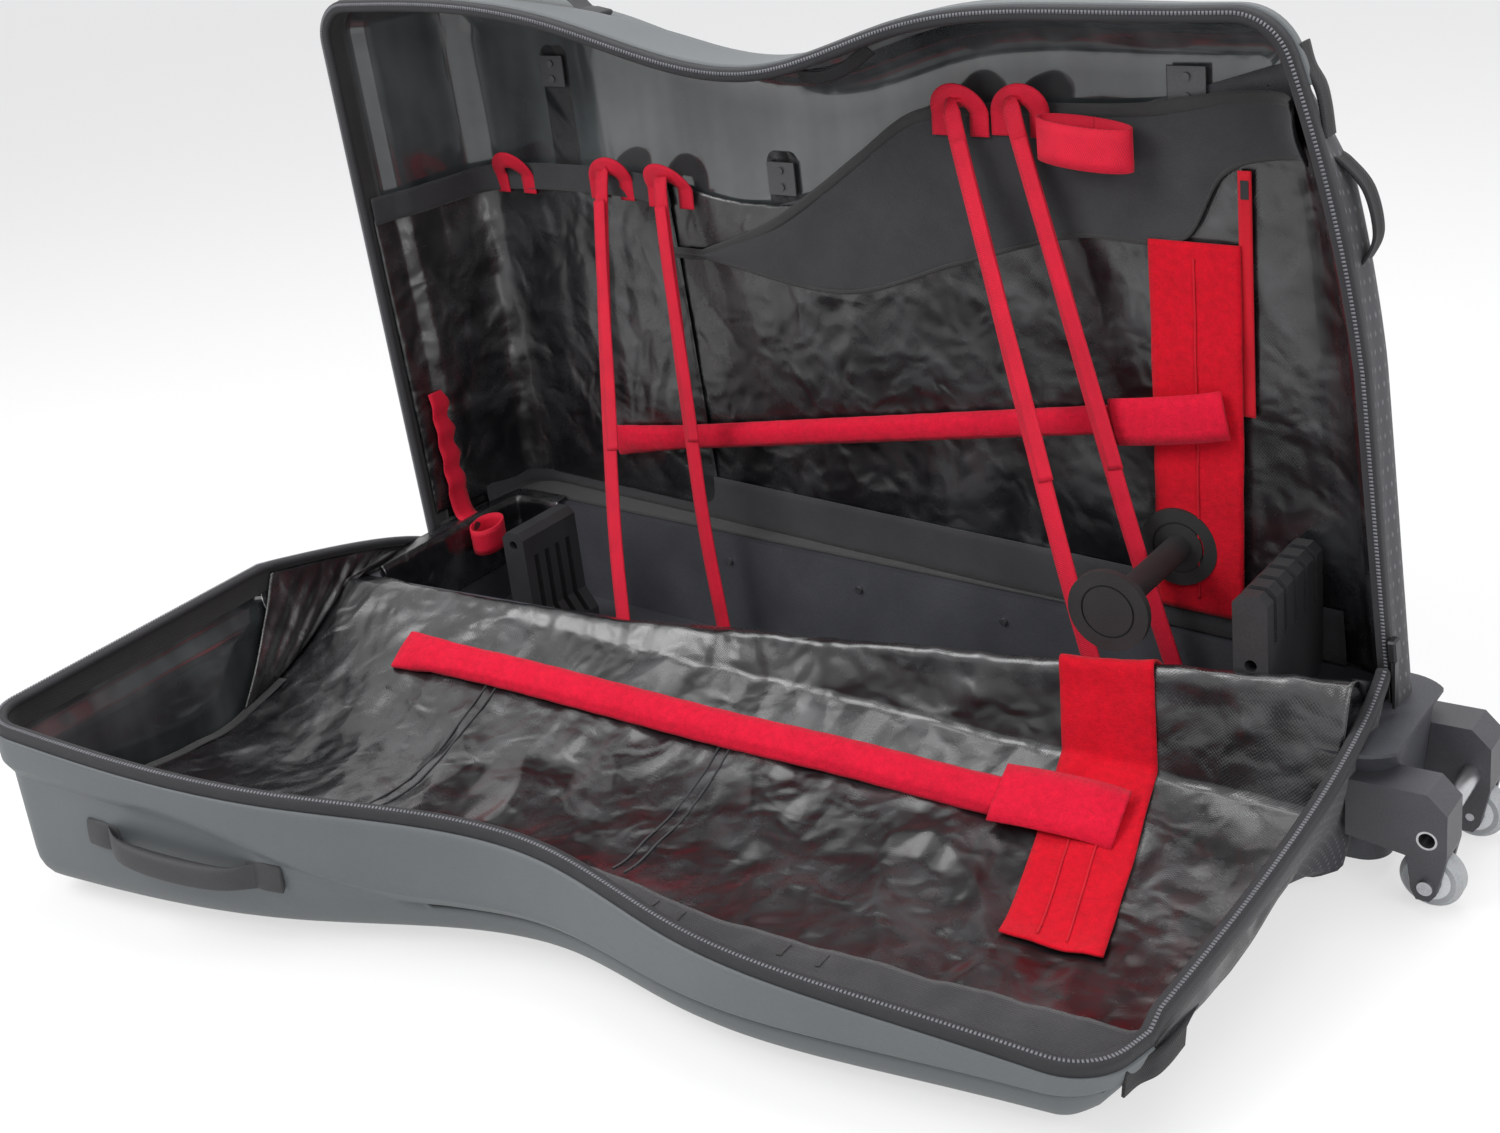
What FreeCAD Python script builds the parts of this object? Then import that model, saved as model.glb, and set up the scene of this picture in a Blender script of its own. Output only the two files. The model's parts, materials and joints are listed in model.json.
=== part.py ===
"""Hybrid bike travel case, open: a hard-and-soft rear half on a wheeled base, and its folded-down lid.

Millimetres. +X runs to the wheeled end, +Y to the back, +Z up. The zip plane is Y = 0 and the floor Z = 0.
"""
import FreeCAD, Part, Sketcher
import math
import os
import re
from FreeCAD import Matrix, Placement, Rotation, Vector

# Driving dimensions
SIZES = {
    # outline of both halves in the zip plane
    "rim_left": -662, "left_lean": 28, "left_top": 838, "left_corner": 46,
    "shoulder_x": -322, "shoulder_drop": 29, "dip_x": -45, "dip_top": 755,
    "rise_x": 111, "rise_drop": 10, "right_top": 805, "right_corner": 60, "right_top_x": 526,
    "right_lean": 18.6, "right_bow_x": 561, "right_bow_z": 628, "right_mid_x": 587, "right_mid_z": 480,
    "rim_right": 613,
    # depth of each half and its wall
    "depth_left": 215, "depth_right": 76, "hull_low": 150, "wall": 4, "edge_round": 50,
    "side_draft": 18, "band_share": 0.22, "step_share": 0.3, "band_draft": 2, "step_inset": 12,
    "rim_tape": 14, "rim_gap": 1.5, "rim_proud": 2, "rim_width": 11, "rim_low": 190,
    "hard_left": 430, "hard_right": 760, "liner": 2, "layer_gap": 0.5,
    # fabric hinge
    "hinge_z": 180, "open_angle": 90, "lid_low_left": 312, "lid_low_right": 374, "gusset_top": 196,
    # base
    "tub_left": -630, "tub_right": 640, "tub_half_left": 150, "tub_half_right": 72, "tub_low": 22,
    "tub_wall": 4, "tub_flange": 12, "tub_rim": 4, "tub_draft": 14, "tub_corner": 40, "tub_nose": 40,
    "foot_x": -540, "foot_y": 92, "foot_radius": 20, "foot_top_radius": 25, "tub_screw_drop": 30,
    # wheels and grip bar
    "wheel_x": 674, "wheel_y": 66, "wheel_radius": 29, "wheel_width": 24, "hub_radius": 19, "tyre_edge": 5,
    "axle_radius": 4, "running_gap": 0.05, "bearing_radius": 11, "bearing_width": 7, "bearing_lip": 3,
    "bracket_width": 44, "bracket_top": 124, "bracket_foot": 13, "bracket_nose": 18, "wheel_room": 3,
    "bolt_head": 7, "bolt_head_height": 5, "bar_z": 77, "bar_radius": 9.5, "bar_wall": 2,
    # axle adapters
    "rail_half": 30, "rail_height": 18, "rail_start": -570, "rail_end": 585,
    "slot_half": 8, "slot_deep": 12, "slot_room": 16, "slot_lip": 5, "slide_gap": 0.4, "seat_gap": 0.3,
    "fork_x": -455, "fork_axle_z": 178, "fork_width": 100, "fork_foot": 100,
    "rear_x": 505, "rear_axle_z": 212, "rear_width": 142, "rear_foot": 112, "rear_post_top": 284,
    "post_half": 34, "post_eye": 17, "post_slope": 40, "post_heel": 14, "post_slot": 8, "axle_bore": 6.1,
    # outside fittings
    "skid_height": 12, "skid_half": 24, "skid_low": 226, "skid_draft": 5,
    "skid_left_x": -492, "skid_left_top": 750, "skid_mid_x": -132, "skid_mid_top": 634,
    "skid_right_x": 386, "skid_right_top": 751, "plate_half": 20, "plate_height": 38, "plate_thick": 2.5,
    "screw_radius": 4, "handle_x": -440, "handle_half": 105, "handle_rise": 40, "handle_grip": 11,
    "handle_width": 30, "handle_share": 0.55, "side_handle_z": 622, "side_handle_half": 58,
    "side_handle_y": 42, "side_handle_out": 34, "tab_low": 690, "tab_high": 776, "tab_y": 18, "tab_width": 24,
    "webbing": 2.5,
    # inside fittings
    "loop_left": 339, "loop_right": 437, "loop_low": 185, "loop_top": 572, "loop_thick": 3,
    "sleeve_start_x": -455, "sleeve_start_z": 240, "sleeve_end_x": 428, "sleeve_end_z": 404,
    "sleeve_height": 38, "sleeve_thick": 14,
    "lid_sleeve_start_x": -493, "lid_sleeve_start_z": 389, "lid_sleeve_end_x": 407, "lid_sleeve_end_z": 430,
    "lid_loop_top": 606, "liner_start": -579,
    "zip_x": 446, "zip_half": 6, "zip_low": 400, "zip_top": 644, "zip_slider": 18,
    "ladder_y": 34, "ladder_width": 26, "ladder_low": 168, "ladder_top": 330, "ladder_loop": 36,
    "loop_width": 52, "loop_height": 34, "loop_band": 12, "strap_width": 20, "strap_thick": 2,
    "anchor_length": 30, "anchor_width": 16, "anchor_height": 20,
    "seat_strap_x": 290, "seat_strap_z": 692, "seat_strap_length": 110, "seat_strap_out": 46,
    "seat_strap_height": 44, "spacer_x": 368, "spacer_z": 250, "spacer_front": -85, "spacer_radius": 14,
    "disc_radius": 42, "disc_thick": 8,
    # main zip slider
    "slider_z": 206, "slider_height": 22, "slider_thick": 9, "slider_half": 8, "slider_edge": 2,
    "puller_length": 48, "puller_half": 5,
}

doc = FreeCAD.newDocument("bike_travel_case")
sheet = doc.addObject("Spreadsheet::Sheet", "sizes")
for row, (alias, value) in enumerate(SIZES.items(), 1):
    sheet.set(f"A{row}", alias)
    sheet.set(f"B{row}", str(value))
    sheet.setAlias(f"B{row}", alias)
doc.recompute()
dim = {alias: float(sheet.get(alias)) for alias in SIZES}
parts = []


# Helpers for document objects
def formula(text):
    """A size formula with every alias read from the sheet."""
    return re.sub(r"[a-z_]+", lambda word: "sizes." + word[0] if word[0] in SIZES else word[0], str(text))


def worked_out(text):
    """The present value of a size formula."""
    return float(sheet.evalExpression(formula(text)))


def bind(piece, **formulas):
    for prop, text in formulas.items():
        piece.setExpression(prop.replace("_Base_", ".Base."), formula(text))


def keep(piece, label):
    """Make an object one of the sub-parts."""
    piece.Label = label
    parts.append(piece)
    return piece


def shaped(name, shape):
    """A document object whose shape is made with Part's own functions."""
    piece = doc.addObject("Part::Feature", name)
    piece.Shape = shape
    return piece


def feature(label, shape, placement=None):
    piece = keep(shaped(label, shape), label)
    if placement:
        piece.Placement = placement
    return piece


TURNS = {"x": Rotation(Vector(0, 1, 0), 90), "y": Rotation(Vector(1, 0, 0), -90), "z": Rotation()}


def primitive(kind, name, x, y, z, along="z", **formulas):
    """A Part primitive whose sizes and place are formulas; `along` is the direction of its own Z axis."""
    piece = doc.addObject("Part::" + kind, name)
    piece.Placement = Placement(Vector(), TURNS[along])
    bind(piece, **formulas)
    bind(piece, Placement_Base_x=x, Placement_Base_y=y, Placement_Base_z=z)
    return piece


def box(name, x, y, z, length, width, height):
    """A box centred on x and y that stands on z."""
    return primitive("Box", name, f"({x}) - ({length}) / 2", f"({y}) - ({width}) / 2", z,
                     Length=length, Width=width, Height=height)


def rod(name, x, y, z, radius, length, along):
    """A cylinder that starts at the given point."""
    return primitive("Cylinder", name, x, y, z, along, Radius=radius, Height=length)


def cut(name, base, *tools):
    for number, tool in enumerate(tools):
        piece = doc.addObject("Part::Cut", f"{name}_cut_{number}")
        piece.Base, piece.Tool = base, tool
        base = piece
    return base


def fuse(name, *pieces):
    piece = doc.addObject("Part::MultiFuse", name + "_fuse")
    piece.Shapes = list(pieces)
    return piece


def group(label, pieces):
    piece = doc.addObject("Part::Compound", label)
    piece.Links = list(pieces)
    return keep(piece, label)


def pin_point(sketch, line, spot, across, up):
    """Hold the start of a sketch line at (across, up), each a formula."""
    for kind, text, axis in (("DistanceX", across, -2), ("DistanceY", up, -1)):
        value = worked_out(text)
        if abs(value) < 1e-9:
            sketch.addConstraint(Sketcher.Constraint("PointOnObject", line, spot, axis))
            continue
        ends = (-1, 1, line, spot) if value > 0 else (line, spot, -1, 1)
        number = sketch.addConstraint(Sketcher.Constraint(kind, *ends, abs(value)))
        sketch.setExpression(f"Constraints[{number}]", formula(text if value > 0 else f"-({text})"))


def body_sketch(name, plane, corners):
    """A PartDesign body with one closed sketch of straight lines, each corner a pair of formulas."""
    body = doc.addObject("PartDesign::Body", name)
    sketch = body.newObject("Sketcher::SketchObject", name + "_sketch")
    origin_plane = [item for item in body.Origin.OriginFeatures if item.Role == plane][0]
    sketch.AttachmentSupport = [(origin_plane, "")]
    sketch.MapMode = "FlatFace"
    flat = [Vector(worked_out(a), worked_out(b), 0) for a, b in corners]
    count = len(flat)
    for number in range(count):
        sketch.addGeometry(Part.LineSegment(flat[number], flat[(number + 1) % count]), False)
    for number in range(count):
        sketch.addConstraint(Sketcher.Constraint("Coincident", number, 2, (number + 1) % count, 1))
    for number, (across, up) in enumerate(corners):
        pin_point(sketch, number, 1, across, up)
    doc.recompute()
    return body, sketch


def padded(name, plane, corners, length, **place):
    """A body padded to both sides of its sketch plane."""
    body, sketch = body_sketch(name, plane, corners)
    pad = body.newObject("PartDesign::Pad", name + "_pad")
    pad.Profile = sketch
    pad.SideType = "Symmetric"
    bind(pad, Length=length)
    bind(body, **place)
    doc.recompute()
    return body


def turned(name, corners, **place):
    """A body turned about the Y axis of the case: corners are (radius, distance along Y)."""
    body, sketch = body_sketch(name, "XY_Plane", corners)
    turn = body.newObject("PartDesign::Revolution", name + "_turn")
    turn.Profile = sketch
    turn.ReferenceAxis = (sketch, ["V_Axis"])
    turn.Angle = 360
    bind(body, **place)
    doc.recompute()
    return body


# The hull: outline of the halves, and how deep they are
SLOPE = (dim["depth_right"] - dim["depth_left"]) / (dim["rim_right"] - dim["rim_left"])
MIN_CORNER = 10
ROUND_STEPS = 3


def depth(x):
    """Depth of a half at x: the case is a wedge, deep at the handlebar end."""
    return dim["depth_left"] + SLOPE * (x - dim["rim_left"])


def point(x, z):
    return Vector(x, 0, z)


def on_circle(centre, radius, angle):
    return centre + point(radius * math.cos(angle), radius * math.sin(angle))


def outline_edges(inset, low):
    """Edges of the rim outline, drawn in by `inset`, from the foot of its left side round to the right."""
    left_radius = max(dim["left_corner"] - inset, MIN_CORNER)
    left_x = dim["rim_left"] - dim["left_lean"] + inset
    top = dim["left_top"] - inset
    left_centre = point(left_x + left_radius, top - left_radius)
    right_radius = max(dim["right_corner"] - inset, MIN_CORNER)
    pulled_in = max(inset - (dim["right_corner"] - MIN_CORNER), 0)
    right_centre = point(dim["right_top_x"] - dim["right_corner"] - pulled_in,
                         dim["right_top"] - dim["right_corner"] - pulled_in)
    lean = math.radians(dim["right_lean"])
    side_end = on_circle(left_centre, left_radius, math.pi)
    top_start = on_circle(left_centre, left_radius, math.pi / 2)
    top_end = on_circle(right_centre, right_radius, math.pi / 2)
    right_start = on_circle(right_centre, right_radius, lean)
    right_mid = point(dim["right_mid_x"] - inset, dim["right_mid_z"])
    top_edge = Part.BSplineCurve()
    top_edge.interpolate(
        Points=[top_start,
                point(dim["shoulder_x"], dim["left_top"] - dim["shoulder_drop"] - inset),
                point(dim["dip_x"], dim["dip_top"] - inset),
                point(dim["rise_x"], dim["right_top"] - dim["rise_drop"] - inset),
                top_end],
        InitialTangent=Vector(1, 0, 0), FinalTangent=Vector(1, 0, 0))
    right_bend = on_circle(right_centre, right_radius, (math.pi / 2 + lean) / 2)
    return [
        Part.LineSegment(point(dim["rim_left"] + inset, low), side_end).toShape(),
        Part.Arc(side_end, on_circle(left_centre, left_radius, 3 * math.pi / 4), top_start).toShape(),
        top_edge.toShape(),
        Part.Arc(top_end, right_bend, right_start).toShape(),
        Part.Arc(right_start, point(dim["right_bow_x"] - inset, dim["right_bow_z"]), right_mid).toShape(),
        Part.LineSegment(right_mid, point(dim["rim_right"] - inset, low)).toShape(),
    ]


def outline(inset, low):
    """The closed rim outline."""
    edges = outline_edges(inset, low)
    edges.append(Part.LineSegment(edges[-1].Vertexes[-1].Point, edges[0].Vertexes[0].Point).toShape())
    return Part.Wire(edges)


def lean_back(shape, share, offset):
    """Shear a shape drawn at Y = 0 onto the plane Y = share * depth(x) + offset."""
    matrix = Matrix()
    matrix.A21 = share * SLOPE
    matrix.A24 = share * depth(0) + offset
    return shape.transformGeometry(matrix)


def on_wall(solid, skin):
    """Lay a solid drawn in front of Y = 0 on the back wall, `skin` in from its outer face."""
    return Part.makeSolid(lean_back(solid, 1, -skin).Shells[0])


def hull(skin, front):
    """Solid of one half at `skin` in from its outer face, from the plane Y = front to the back wall."""
    low = dim["hull_low"] + skin
    radius = dim["edge_round"] - skin
    rings = [(skin, 0, front),
             (dim["band_draft"] + skin, dim["band_share"], 0),
             (dim["step_inset"] + skin, dim["step_share"], 0)]
    for step in range(ROUND_STEPS + 1):
        angle = math.pi / 2 * step / ROUND_STEPS
        rings.append((dim["side_draft"] + dim["edge_round"] - radius * math.cos(angle), 1,
                      radius * math.sin(angle) - dim["edge_round"]))
    wires = []
    for inset, share, offset in rings:
        wires.append(Part.Wire(lean_back(outline(inset, low), share, offset).Edges))
    return Part.makeLoft(wires, True, True)


def layer(skin, thick):
    """A closed layer of the wall between two distances from its outer face."""
    return hull(skin, dim["rim_tape"]).cut(hull(skin + thick, dim["rim_tape"] - 1))


def rounded(points, radius):
    """A closed wire of straight sides and round corners."""
    edges = []
    count = len(points)
    ends = []
    for number in range(count):
        before, here, after = points[number - 1], points[number], points[(number + 1) % count]
        back, on = (before - here).normalize(), (after - here).normalize()
        half = back.getAngle(on) / 2
        reach = radius / math.tan(half)
        middle = here + (back + on).normalize() * (radius / math.sin(half) - radius)
        ends.append((here + back * reach, middle, here + on * reach))
    for number in range(count):
        edges.append(Part.Arc(*ends[number]).toShape())
        edges.append(Part.LineSegment(ends[number][2], ends[(number + 1) % count][0]).toShape())
    return Part.Wire(edges)


DEEP = 400
FAR = 1200


def flat_face(points):
    return Part.Face(Part.makePolygon([point(x, z) for x, z in points + points[:1]]))


def prism(points):
    """Everything within the given outline in the zip plane, through the whole depth of both halves."""
    face = flat_face(points)
    face.translate(Vector(0, -DEEP, 0))
    return face.extrude(Vector(0, 2 * DEEP, 0))


def above(left, right):
    """Everything above a line through the given heights at the two ends of the rim."""
    rise = (right - left) / (dim["rim_right"] - dim["rim_left"])
    low_left = left - rise * FAR
    low_right = right + rise * FAR
    return prism([(dim["rim_left"] - FAR, low_left), (dim["rim_right"] + FAR, low_right),
                  (dim["rim_right"] + FAR, FAR), (dim["rim_left"] - FAR, FAR)])


def wall_panel(points, skin, thick):
    """A flat panel on the back wall, `skin` in from its outer face."""
    return on_wall(flat_face(points).extrude(Vector(0, -thick, 0)), skin)


def rectangle(x, z, width, height):
    return [(x - width / 2, z), (x + width / 2, z), (x + width / 2, z + height), (x - width / 2, z + height)]


# Pose of the lid: a level hinge line, parallel to the lid's front wall, lays that wall flat on the floor
HINGE_TURN = math.atan(-SLOPE)
HINGE_AXIS = Vector(math.cos(HINGE_TURN), math.sin(HINGE_TURN), 0)
LID_DEPTH = dim["hinge_z"] / math.cos(HINGE_TURN) - dim["skid_height"]
HINGE_POINT = Vector(dim["rim_left"] + (LID_DEPTH - dim["depth_left"]) / SLOPE, 0, dim["hinge_z"])
LID_POSE = Placement(Vector(), Rotation(HINGE_AXIS, dim["open_angle"]), HINGE_POINT)
print("hinge point", HINGE_POINT, "axis", HINGE_AXIS)


def lid_feature(label, shape):
    """A sub-part of the lid: the mirror image of a rear one, folded open."""
    return feature(label, shape.mirror(Vector(), Vector(0, 1, 0)), LID_POSE)


# Walls of both halves; each layer lies a little way in from the last
LINER = dim["wall"] + dim["layer_gap"]
POCKET = LINER + dim["liner"] + dim["layer_gap"]
FITTING = POCKET + dim["liner"] + dim["layer_gap"]
outer_hull = hull(0, dim["rim_tape"])
walls = layer(0, dim["wall"])
hard = above(dim["hard_left"], dim["hard_right"])
lid_part = above(dim["lid_low_left"], dim["lid_low_right"])


def tub_plan(grow, height):
    """Wedge-shaped plan of the base tub, grown outwards, at a height."""
    left, right = dim["tub_left"] - grow, dim["tub_right"] + grow
    half_left, half_right = dim["tub_half_left"] + grow, dim["tub_half_right"] + grow
    corners = [Vector(left, -half_left, height), Vector(right, -half_right, height),
               Vector(right, half_right, height), Vector(left, half_left, height)]
    return rounded(corners, dim["tub_corner"] + grow)


def tub_block(grow, low, high):
    """The drafted block of the tub between two heights, grown outwards."""
    return Part.makeLoft([tub_plan(grow - dim["tub_draft"], low), tub_plan(grow, high)], True, True)


def tub_room(low, high):
    """The hollow of the tub, closed off before its solid nose."""
    nose = Part.makeBox(FAR, FAR, FAR, Vector(dim["tub_right"] - dim["tub_nose"], -FAR / 2, -FAR / 2))
    return tub_block(-dim["tub_wall"], low, high).cut(nose)


floor_opening = tub_room(dim["tub_low"], dim["hull_low"] + dim["wall"] + 1)
feature("rear_shell", walls.common(hard))
feature("rear_soft_wall", walls.cut(hard).cut(floor_opening))
lid_feature("lid_shell", walls.common(hard))
lid_wall = lid_feature("lid_soft_wall", walls.cut(hard).common(lid_part))

# Borders of the liners and pockets, as points (x, z) in the zip plane
LINER_FOOT = dim["hull_low"] + 2 * LINER
POCKET_FOOT = LINER_FOOT + dim["webbing"] * 8
LINER_BORDER = [(-720, LINER_FOOT), (-720, 585), (-540, 592), (-404, 592), (-304, 588), (-200, 572),
                (-105, 574), (-75, 588), (0, 632), (86, 679), (175, 690), (364, 694), (410, 698), (491, 710),
                (640, 702), (660, LINER_FOOT)]
LEFT_POCKET_BORDER = [(-720, POCKET_FOOT), (-720, 579), (-540, 586), (-448, 586), (-430, 570),
                      (-430, POCKET_FOOT)]
RIGHT_POCKET_BORDER = [(-273, 502), (-75, 582), (0, 626), (86, 673), (175, 684), (364, 688), (410, 692),
                       (491, 704), (600, 696), (600, 664), (500, 658), (458, 650), (437, 650), (437, 580),
                       (330, 580), (263, 568), (111, 527), (-59, 479)]
feature("rear_liner", layer(LINER, dim["liner"]).common(prism(LINER_BORDER)))
pocket_layer = layer(POCKET, dim["liner"])
feature("left_pocket", pocket_layer.common(prism(LEFT_POCKET_BORDER)))
feature("right_pocket", pocket_layer.common(prism(RIGHT_POCKET_BORDER)))


def rim(low_left, low_right):
    """Zip tape and binding round the rim, down to a height at each side."""
    outside = Part.Face(outline(-dim["rim_proud"], dim["hull_low"]))
    ring = outside.cut(Part.Face(outline(dim["rim_width"], dim["hull_low"] - 1)))
    ring.translate(Vector(0, dim["rim_gap"], 0))
    band = ring.extrude(Vector(0, dim["rim_tape"] - dim["rim_gap"], 0))
    return band.common(above(low_left, low_right))


feature("rear_rim_zip", rim(dim["hull_low"], dim["rim_low"]))
lid_feature("lid_rim_zip", rim(dim["lid_low_left"], dim["lid_low_right"]))

# Skid rails on the outside, with their screw plates inside
SKIDS = {"left": ("skid_left_x", "skid_left_top"), "middle": ("skid_mid_x", "skid_mid_top"),
         "right": ("skid_right_x", "skid_right_top")}
SKID_ROUND = 0.6


def skid(x, top, low):
    """A moulded rail with drafted sides on the back wall."""
    wires = []
    for grow, lift in ((0, 0), (-dim["skid_draft"], dim["skid_height"])):
        half = dim["skid_half"] + grow
        corners = [point(x - half, low - grow), point(x + half, low - grow),
                   point(x + half, top + grow), point(x - half, top + grow)]
        wires.append(Part.Wire(lean_back(rounded(corners, half * SKID_ROUND), 1, lift).Edges))
    return Part.makeLoft(wires, True, True)


def plate(x, top):
    """Screw plate behind the head of a skid rail, with two screw heads."""
    high = top - dim["skid_half"] / 2
    corners = rectangle(x, high - dim["plate_height"], 2 * dim["plate_half"], dim["plate_height"])
    base = wall_panel(corners, dim["wall"], dim["plate_thick"])
    stack = 2 * dim["plate_thick"]
    for share in (0.25, 0.75):
        seat = Vector(x, depth(x) - dim["wall"] - stack, high - share * dim["plate_height"])
        base = base.fuse(Part.makeCylinder(dim["screw_radius"], stack, seat, Vector(0, 1, 0)))
    return base.cut(walls)


plates = []
for side, names in SKIDS.items():
    x, top = (dim[name] for name in names)
    feature(f"rear_skid_rail_{side}", skid(x, top, dim["skid_low"]))
    lid_feature(f"lid_skid_rail_{side}", skid(x, top, dim["lid_low_right"] + dim["skid_half"]))
    plates.append(plate(x, top))
feature("rear_rail_plates", Part.makeCompound(plates))
lid_feature("lid_rail_plates", Part.makeCompound(plates))


# Handles and tabs on the outside
def arch(middle, along, out, half, rise, grip, width):
    """An arched grip: `along` runs from end to end, `out` away from the wall."""
    sink = -3 * grip
    across = along.cross(out).normalize() * width

    def place(a, b):
        return middle + along * a + out * b - across * 0.5

    def bow(reach, height):
        edges = [Part.LineSegment(place(-reach, sink), place(-reach, 0)).toShape(),
                 Part.Arc(place(-reach, 0), place(0, height), place(reach, 0)).toShape(),
                 Part.LineSegment(place(reach, 0), place(reach, sink)).toShape(),
                 Part.LineSegment(place(reach, sink), place(-reach, sink)).toShape()]
        return Part.Face(Part.Wire(edges)).extrude(across)

    return bow(half, rise).cut(bow(half - 2.5 * grip, rise - grip))


def top_at(x):
    """Height of the top wall's outer face at x, half way down its draft."""
    line = Part.LineSegment(point(x, 0), point(x, FAR)).toShape()
    edge = Part.Wire(outline_edges(dim["side_draft"], dim["hull_low"]))
    return edge.distToShape(line)[1][0][0].z


handle_y = dim["handle_share"] * depth(dim["handle_x"])
handle_seat = Vector(dim["handle_x"], handle_y, top_at(dim["handle_x"]))
top_handle = arch(handle_seat, Vector(1, 0, 0), Vector(0, 0, 1), dim["handle_half"], dim["handle_rise"],
                  dim["handle_grip"], dim["handle_width"]).cut(outer_hull)
feature("rear_top_handle", top_handle)
lid_feature("lid_handle", top_handle)
side_seat = Vector(dim["right_top_x"] + dim["side_handle_out"], dim["side_handle_y"], dim["side_handle_z"])
side_arch = arch(side_seat, Vector(0, 0, -1), Vector(1, 0, 0), dim["side_handle_half"],
                 dim["side_handle_out"], dim["webbing"] * 2, dim["tab_width"]).cut(outer_hull)
feature("side_handle", side_arch)
tab_layer = hull(-dim["webbing"], dim["rim_tape"]).cut(outer_hull)
tab_start = Vector(dim["right_top_x"] - dim["right_corner"], dim["tab_y"], dim["tab_low"])
tab_area = Part.makeBox(FAR, dim["tab_width"], dim["tab_high"] - dim["tab_low"], tab_start)
feature("rear_corner_tab", tab_layer.common(tab_area))
lid_feature("lid_corner_tab", tab_layer.common(tab_area))


# Fittings on the inside of the back walls
def loop_panel(low, high, skin):
    middle = (dim["loop_left"] + dim["loop_right"]) / 2
    width = dim["loop_right"] - dim["loop_left"]
    return wall_panel(rectangle(middle, low, width, high - low), skin, dim["loop_thick"])


def sleeve(start, end, skin):
    """A padded band on the back wall: flat behind, crowned in front, its edges drawn in."""
    run = point(end[0] - start[0], end[1] - start[1])
    side = Vector(run.z, 0, -run.x).normalize() * (dim["sleeve_height"] / 2)
    middle = point(*start)
    crown = Part.Arc(middle - side, middle - Vector(0, dim["sleeve_thick"], 0), middle + side).toShape()
    back = Part.LineSegment(middle + side, middle - side).toShape()
    return on_wall(Part.Face(Part.Wire([crown, back])).extrude(run), skin)


PANEL_STACK = dim["loop_thick"] + dim["layer_gap"]
feature("rear_loop_panel", loop_panel(dim["loop_low"], dim["loop_top"], POCKET))
feature("rear_sleeve", sleeve((dim["sleeve_start_x"], dim["sleeve_start_z"]),
                              (dim["sleeve_end_x"], dim["sleeve_end_z"]), POCKET + PANEL_STACK))

# The lid's liner hangs slack between the hinge and the front rim: share of the depth and height of each
# line along it, at the two ends of the rim
SLACK = [((0.36, 318), (0.12, 380)), ((0.66, 430), (0.5, 470)), ((0.78, 560), (0.74, 570)),
         ((0.7, 660), (0.66, 680)), ((0.5, 850), (0.46, 850))]


def slack_line(x):
    """The slack liner's section at one place along the case, as points from the hinge to the front rim."""
    along = (x - dim["rim_left"]) / (dim["rim_right"] - dim["rim_left"])
    line = []
    for (left_share, left_z), (right_share, right_z) in SLACK:
        left_y, right_y = left_share * dim["depth_left"], right_share * dim["depth_right"]
        line.append(Vector(x, left_y + (right_y - left_y) * along, left_z + (right_z - left_z) * along))
    return line


def slack_layer(left, right, lift, thick):
    """A layer of cloth on the slack liner between two places along the case."""
    wires = []
    for x in (left, right):
        back = [spot - Vector(0, lift, 0) for spot in slack_line(x)]
        front = [spot - Vector(0, thick, 0) for spot in reversed(back)]
        wires.append(Part.makePolygon(back + front + back[:1]))
    return Part.makeLoft(wires, True, True)


def on_slack(x, z):
    """The slack liner's point at a height, and its direction there."""
    line = slack_line(x)
    for low, high in zip(line, line[1:]):
        if z <= high.z:
            run = high - low
            return low + run * ((z - low.z) / run.z), run.normalize()
    raise ValueError(f"{z} is above the slack liner")


def slack_sleeve(start, end, lift):
    """A padded band on the slack liner: flat behind, crowned in front."""
    first, slope = on_slack(*start)
    run = on_slack(*end)[0] - first
    side = slope - run * (slope.dot(run) / run.dot(run))
    side = side.normalize() * (dim["sleeve_height"] / 2)
    rise = run.cross(side).normalize()
    rise = rise * math.copysign(1, -rise.y)
    middle = first + rise * lift
    crown = Part.Arc(middle - side, middle + rise * dim["sleeve_thick"], middle + side).toShape()
    back = Part.LineSegment(middle + side, middle - side).toShape()
    return Part.Face(Part.Wire([crown, back])).extrude(run)


ON_LINER = dim["liner"] + dim["layer_gap"]
lid_room = hull(LINER, dim["rim_tape"]).common(lid_part)
slack = slack_layer(dim["rim_left"], dim["rim_right"], 0, dim["liner"])
bare_end = Part.makeBox(FAR, FAR, FAR, Vector(dim["liner_start"] - FAR, -FAR / 2, 0))
lid_feature("lid_liner", slack.common(lid_room).cut(bare_end))
lid_panel_area = rectangle((dim["loop_left"] + dim["loop_right"]) / 2, 0,
                           dim["loop_right"] - dim["loop_left"], dim["lid_loop_top"])
lid_panel = slack_layer(dim["loop_left"], dim["loop_right"], ON_LINER, dim["loop_thick"])
lid_feature("lid_loop_panel", lid_panel.common(lid_room).common(prism(lid_panel_area)))
lid_pad = slack_sleeve((dim["lid_sleeve_start_x"], dim["lid_sleeve_start_z"]),
                       (dim["lid_sleeve_end_x"], dim["lid_sleeve_end_z"]), ON_LINER + PANEL_STACK)
lid_feature("lid_sleeve", lid_pad.cut(lid_panel))
zip_tape = rectangle(dim["zip_x"], dim["zip_low"], 2 * dim["zip_half"], dim["zip_top"] - dim["zip_low"])
feature("pocket_zip_tape", wall_panel(zip_tape, POCKET, dim["liner"]))
zip_slider = rectangle(dim["zip_x"], dim["zip_top"] - 1.5 * dim["zip_slider"], 1.4 * dim["zip_half"],
                       dim["zip_slider"])
feature("pocket_zip_slider",
        wall_panel(zip_slider, POCKET + dim["liner"] + dim["seat_gap"], 2 * dim["liner"]))

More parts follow.
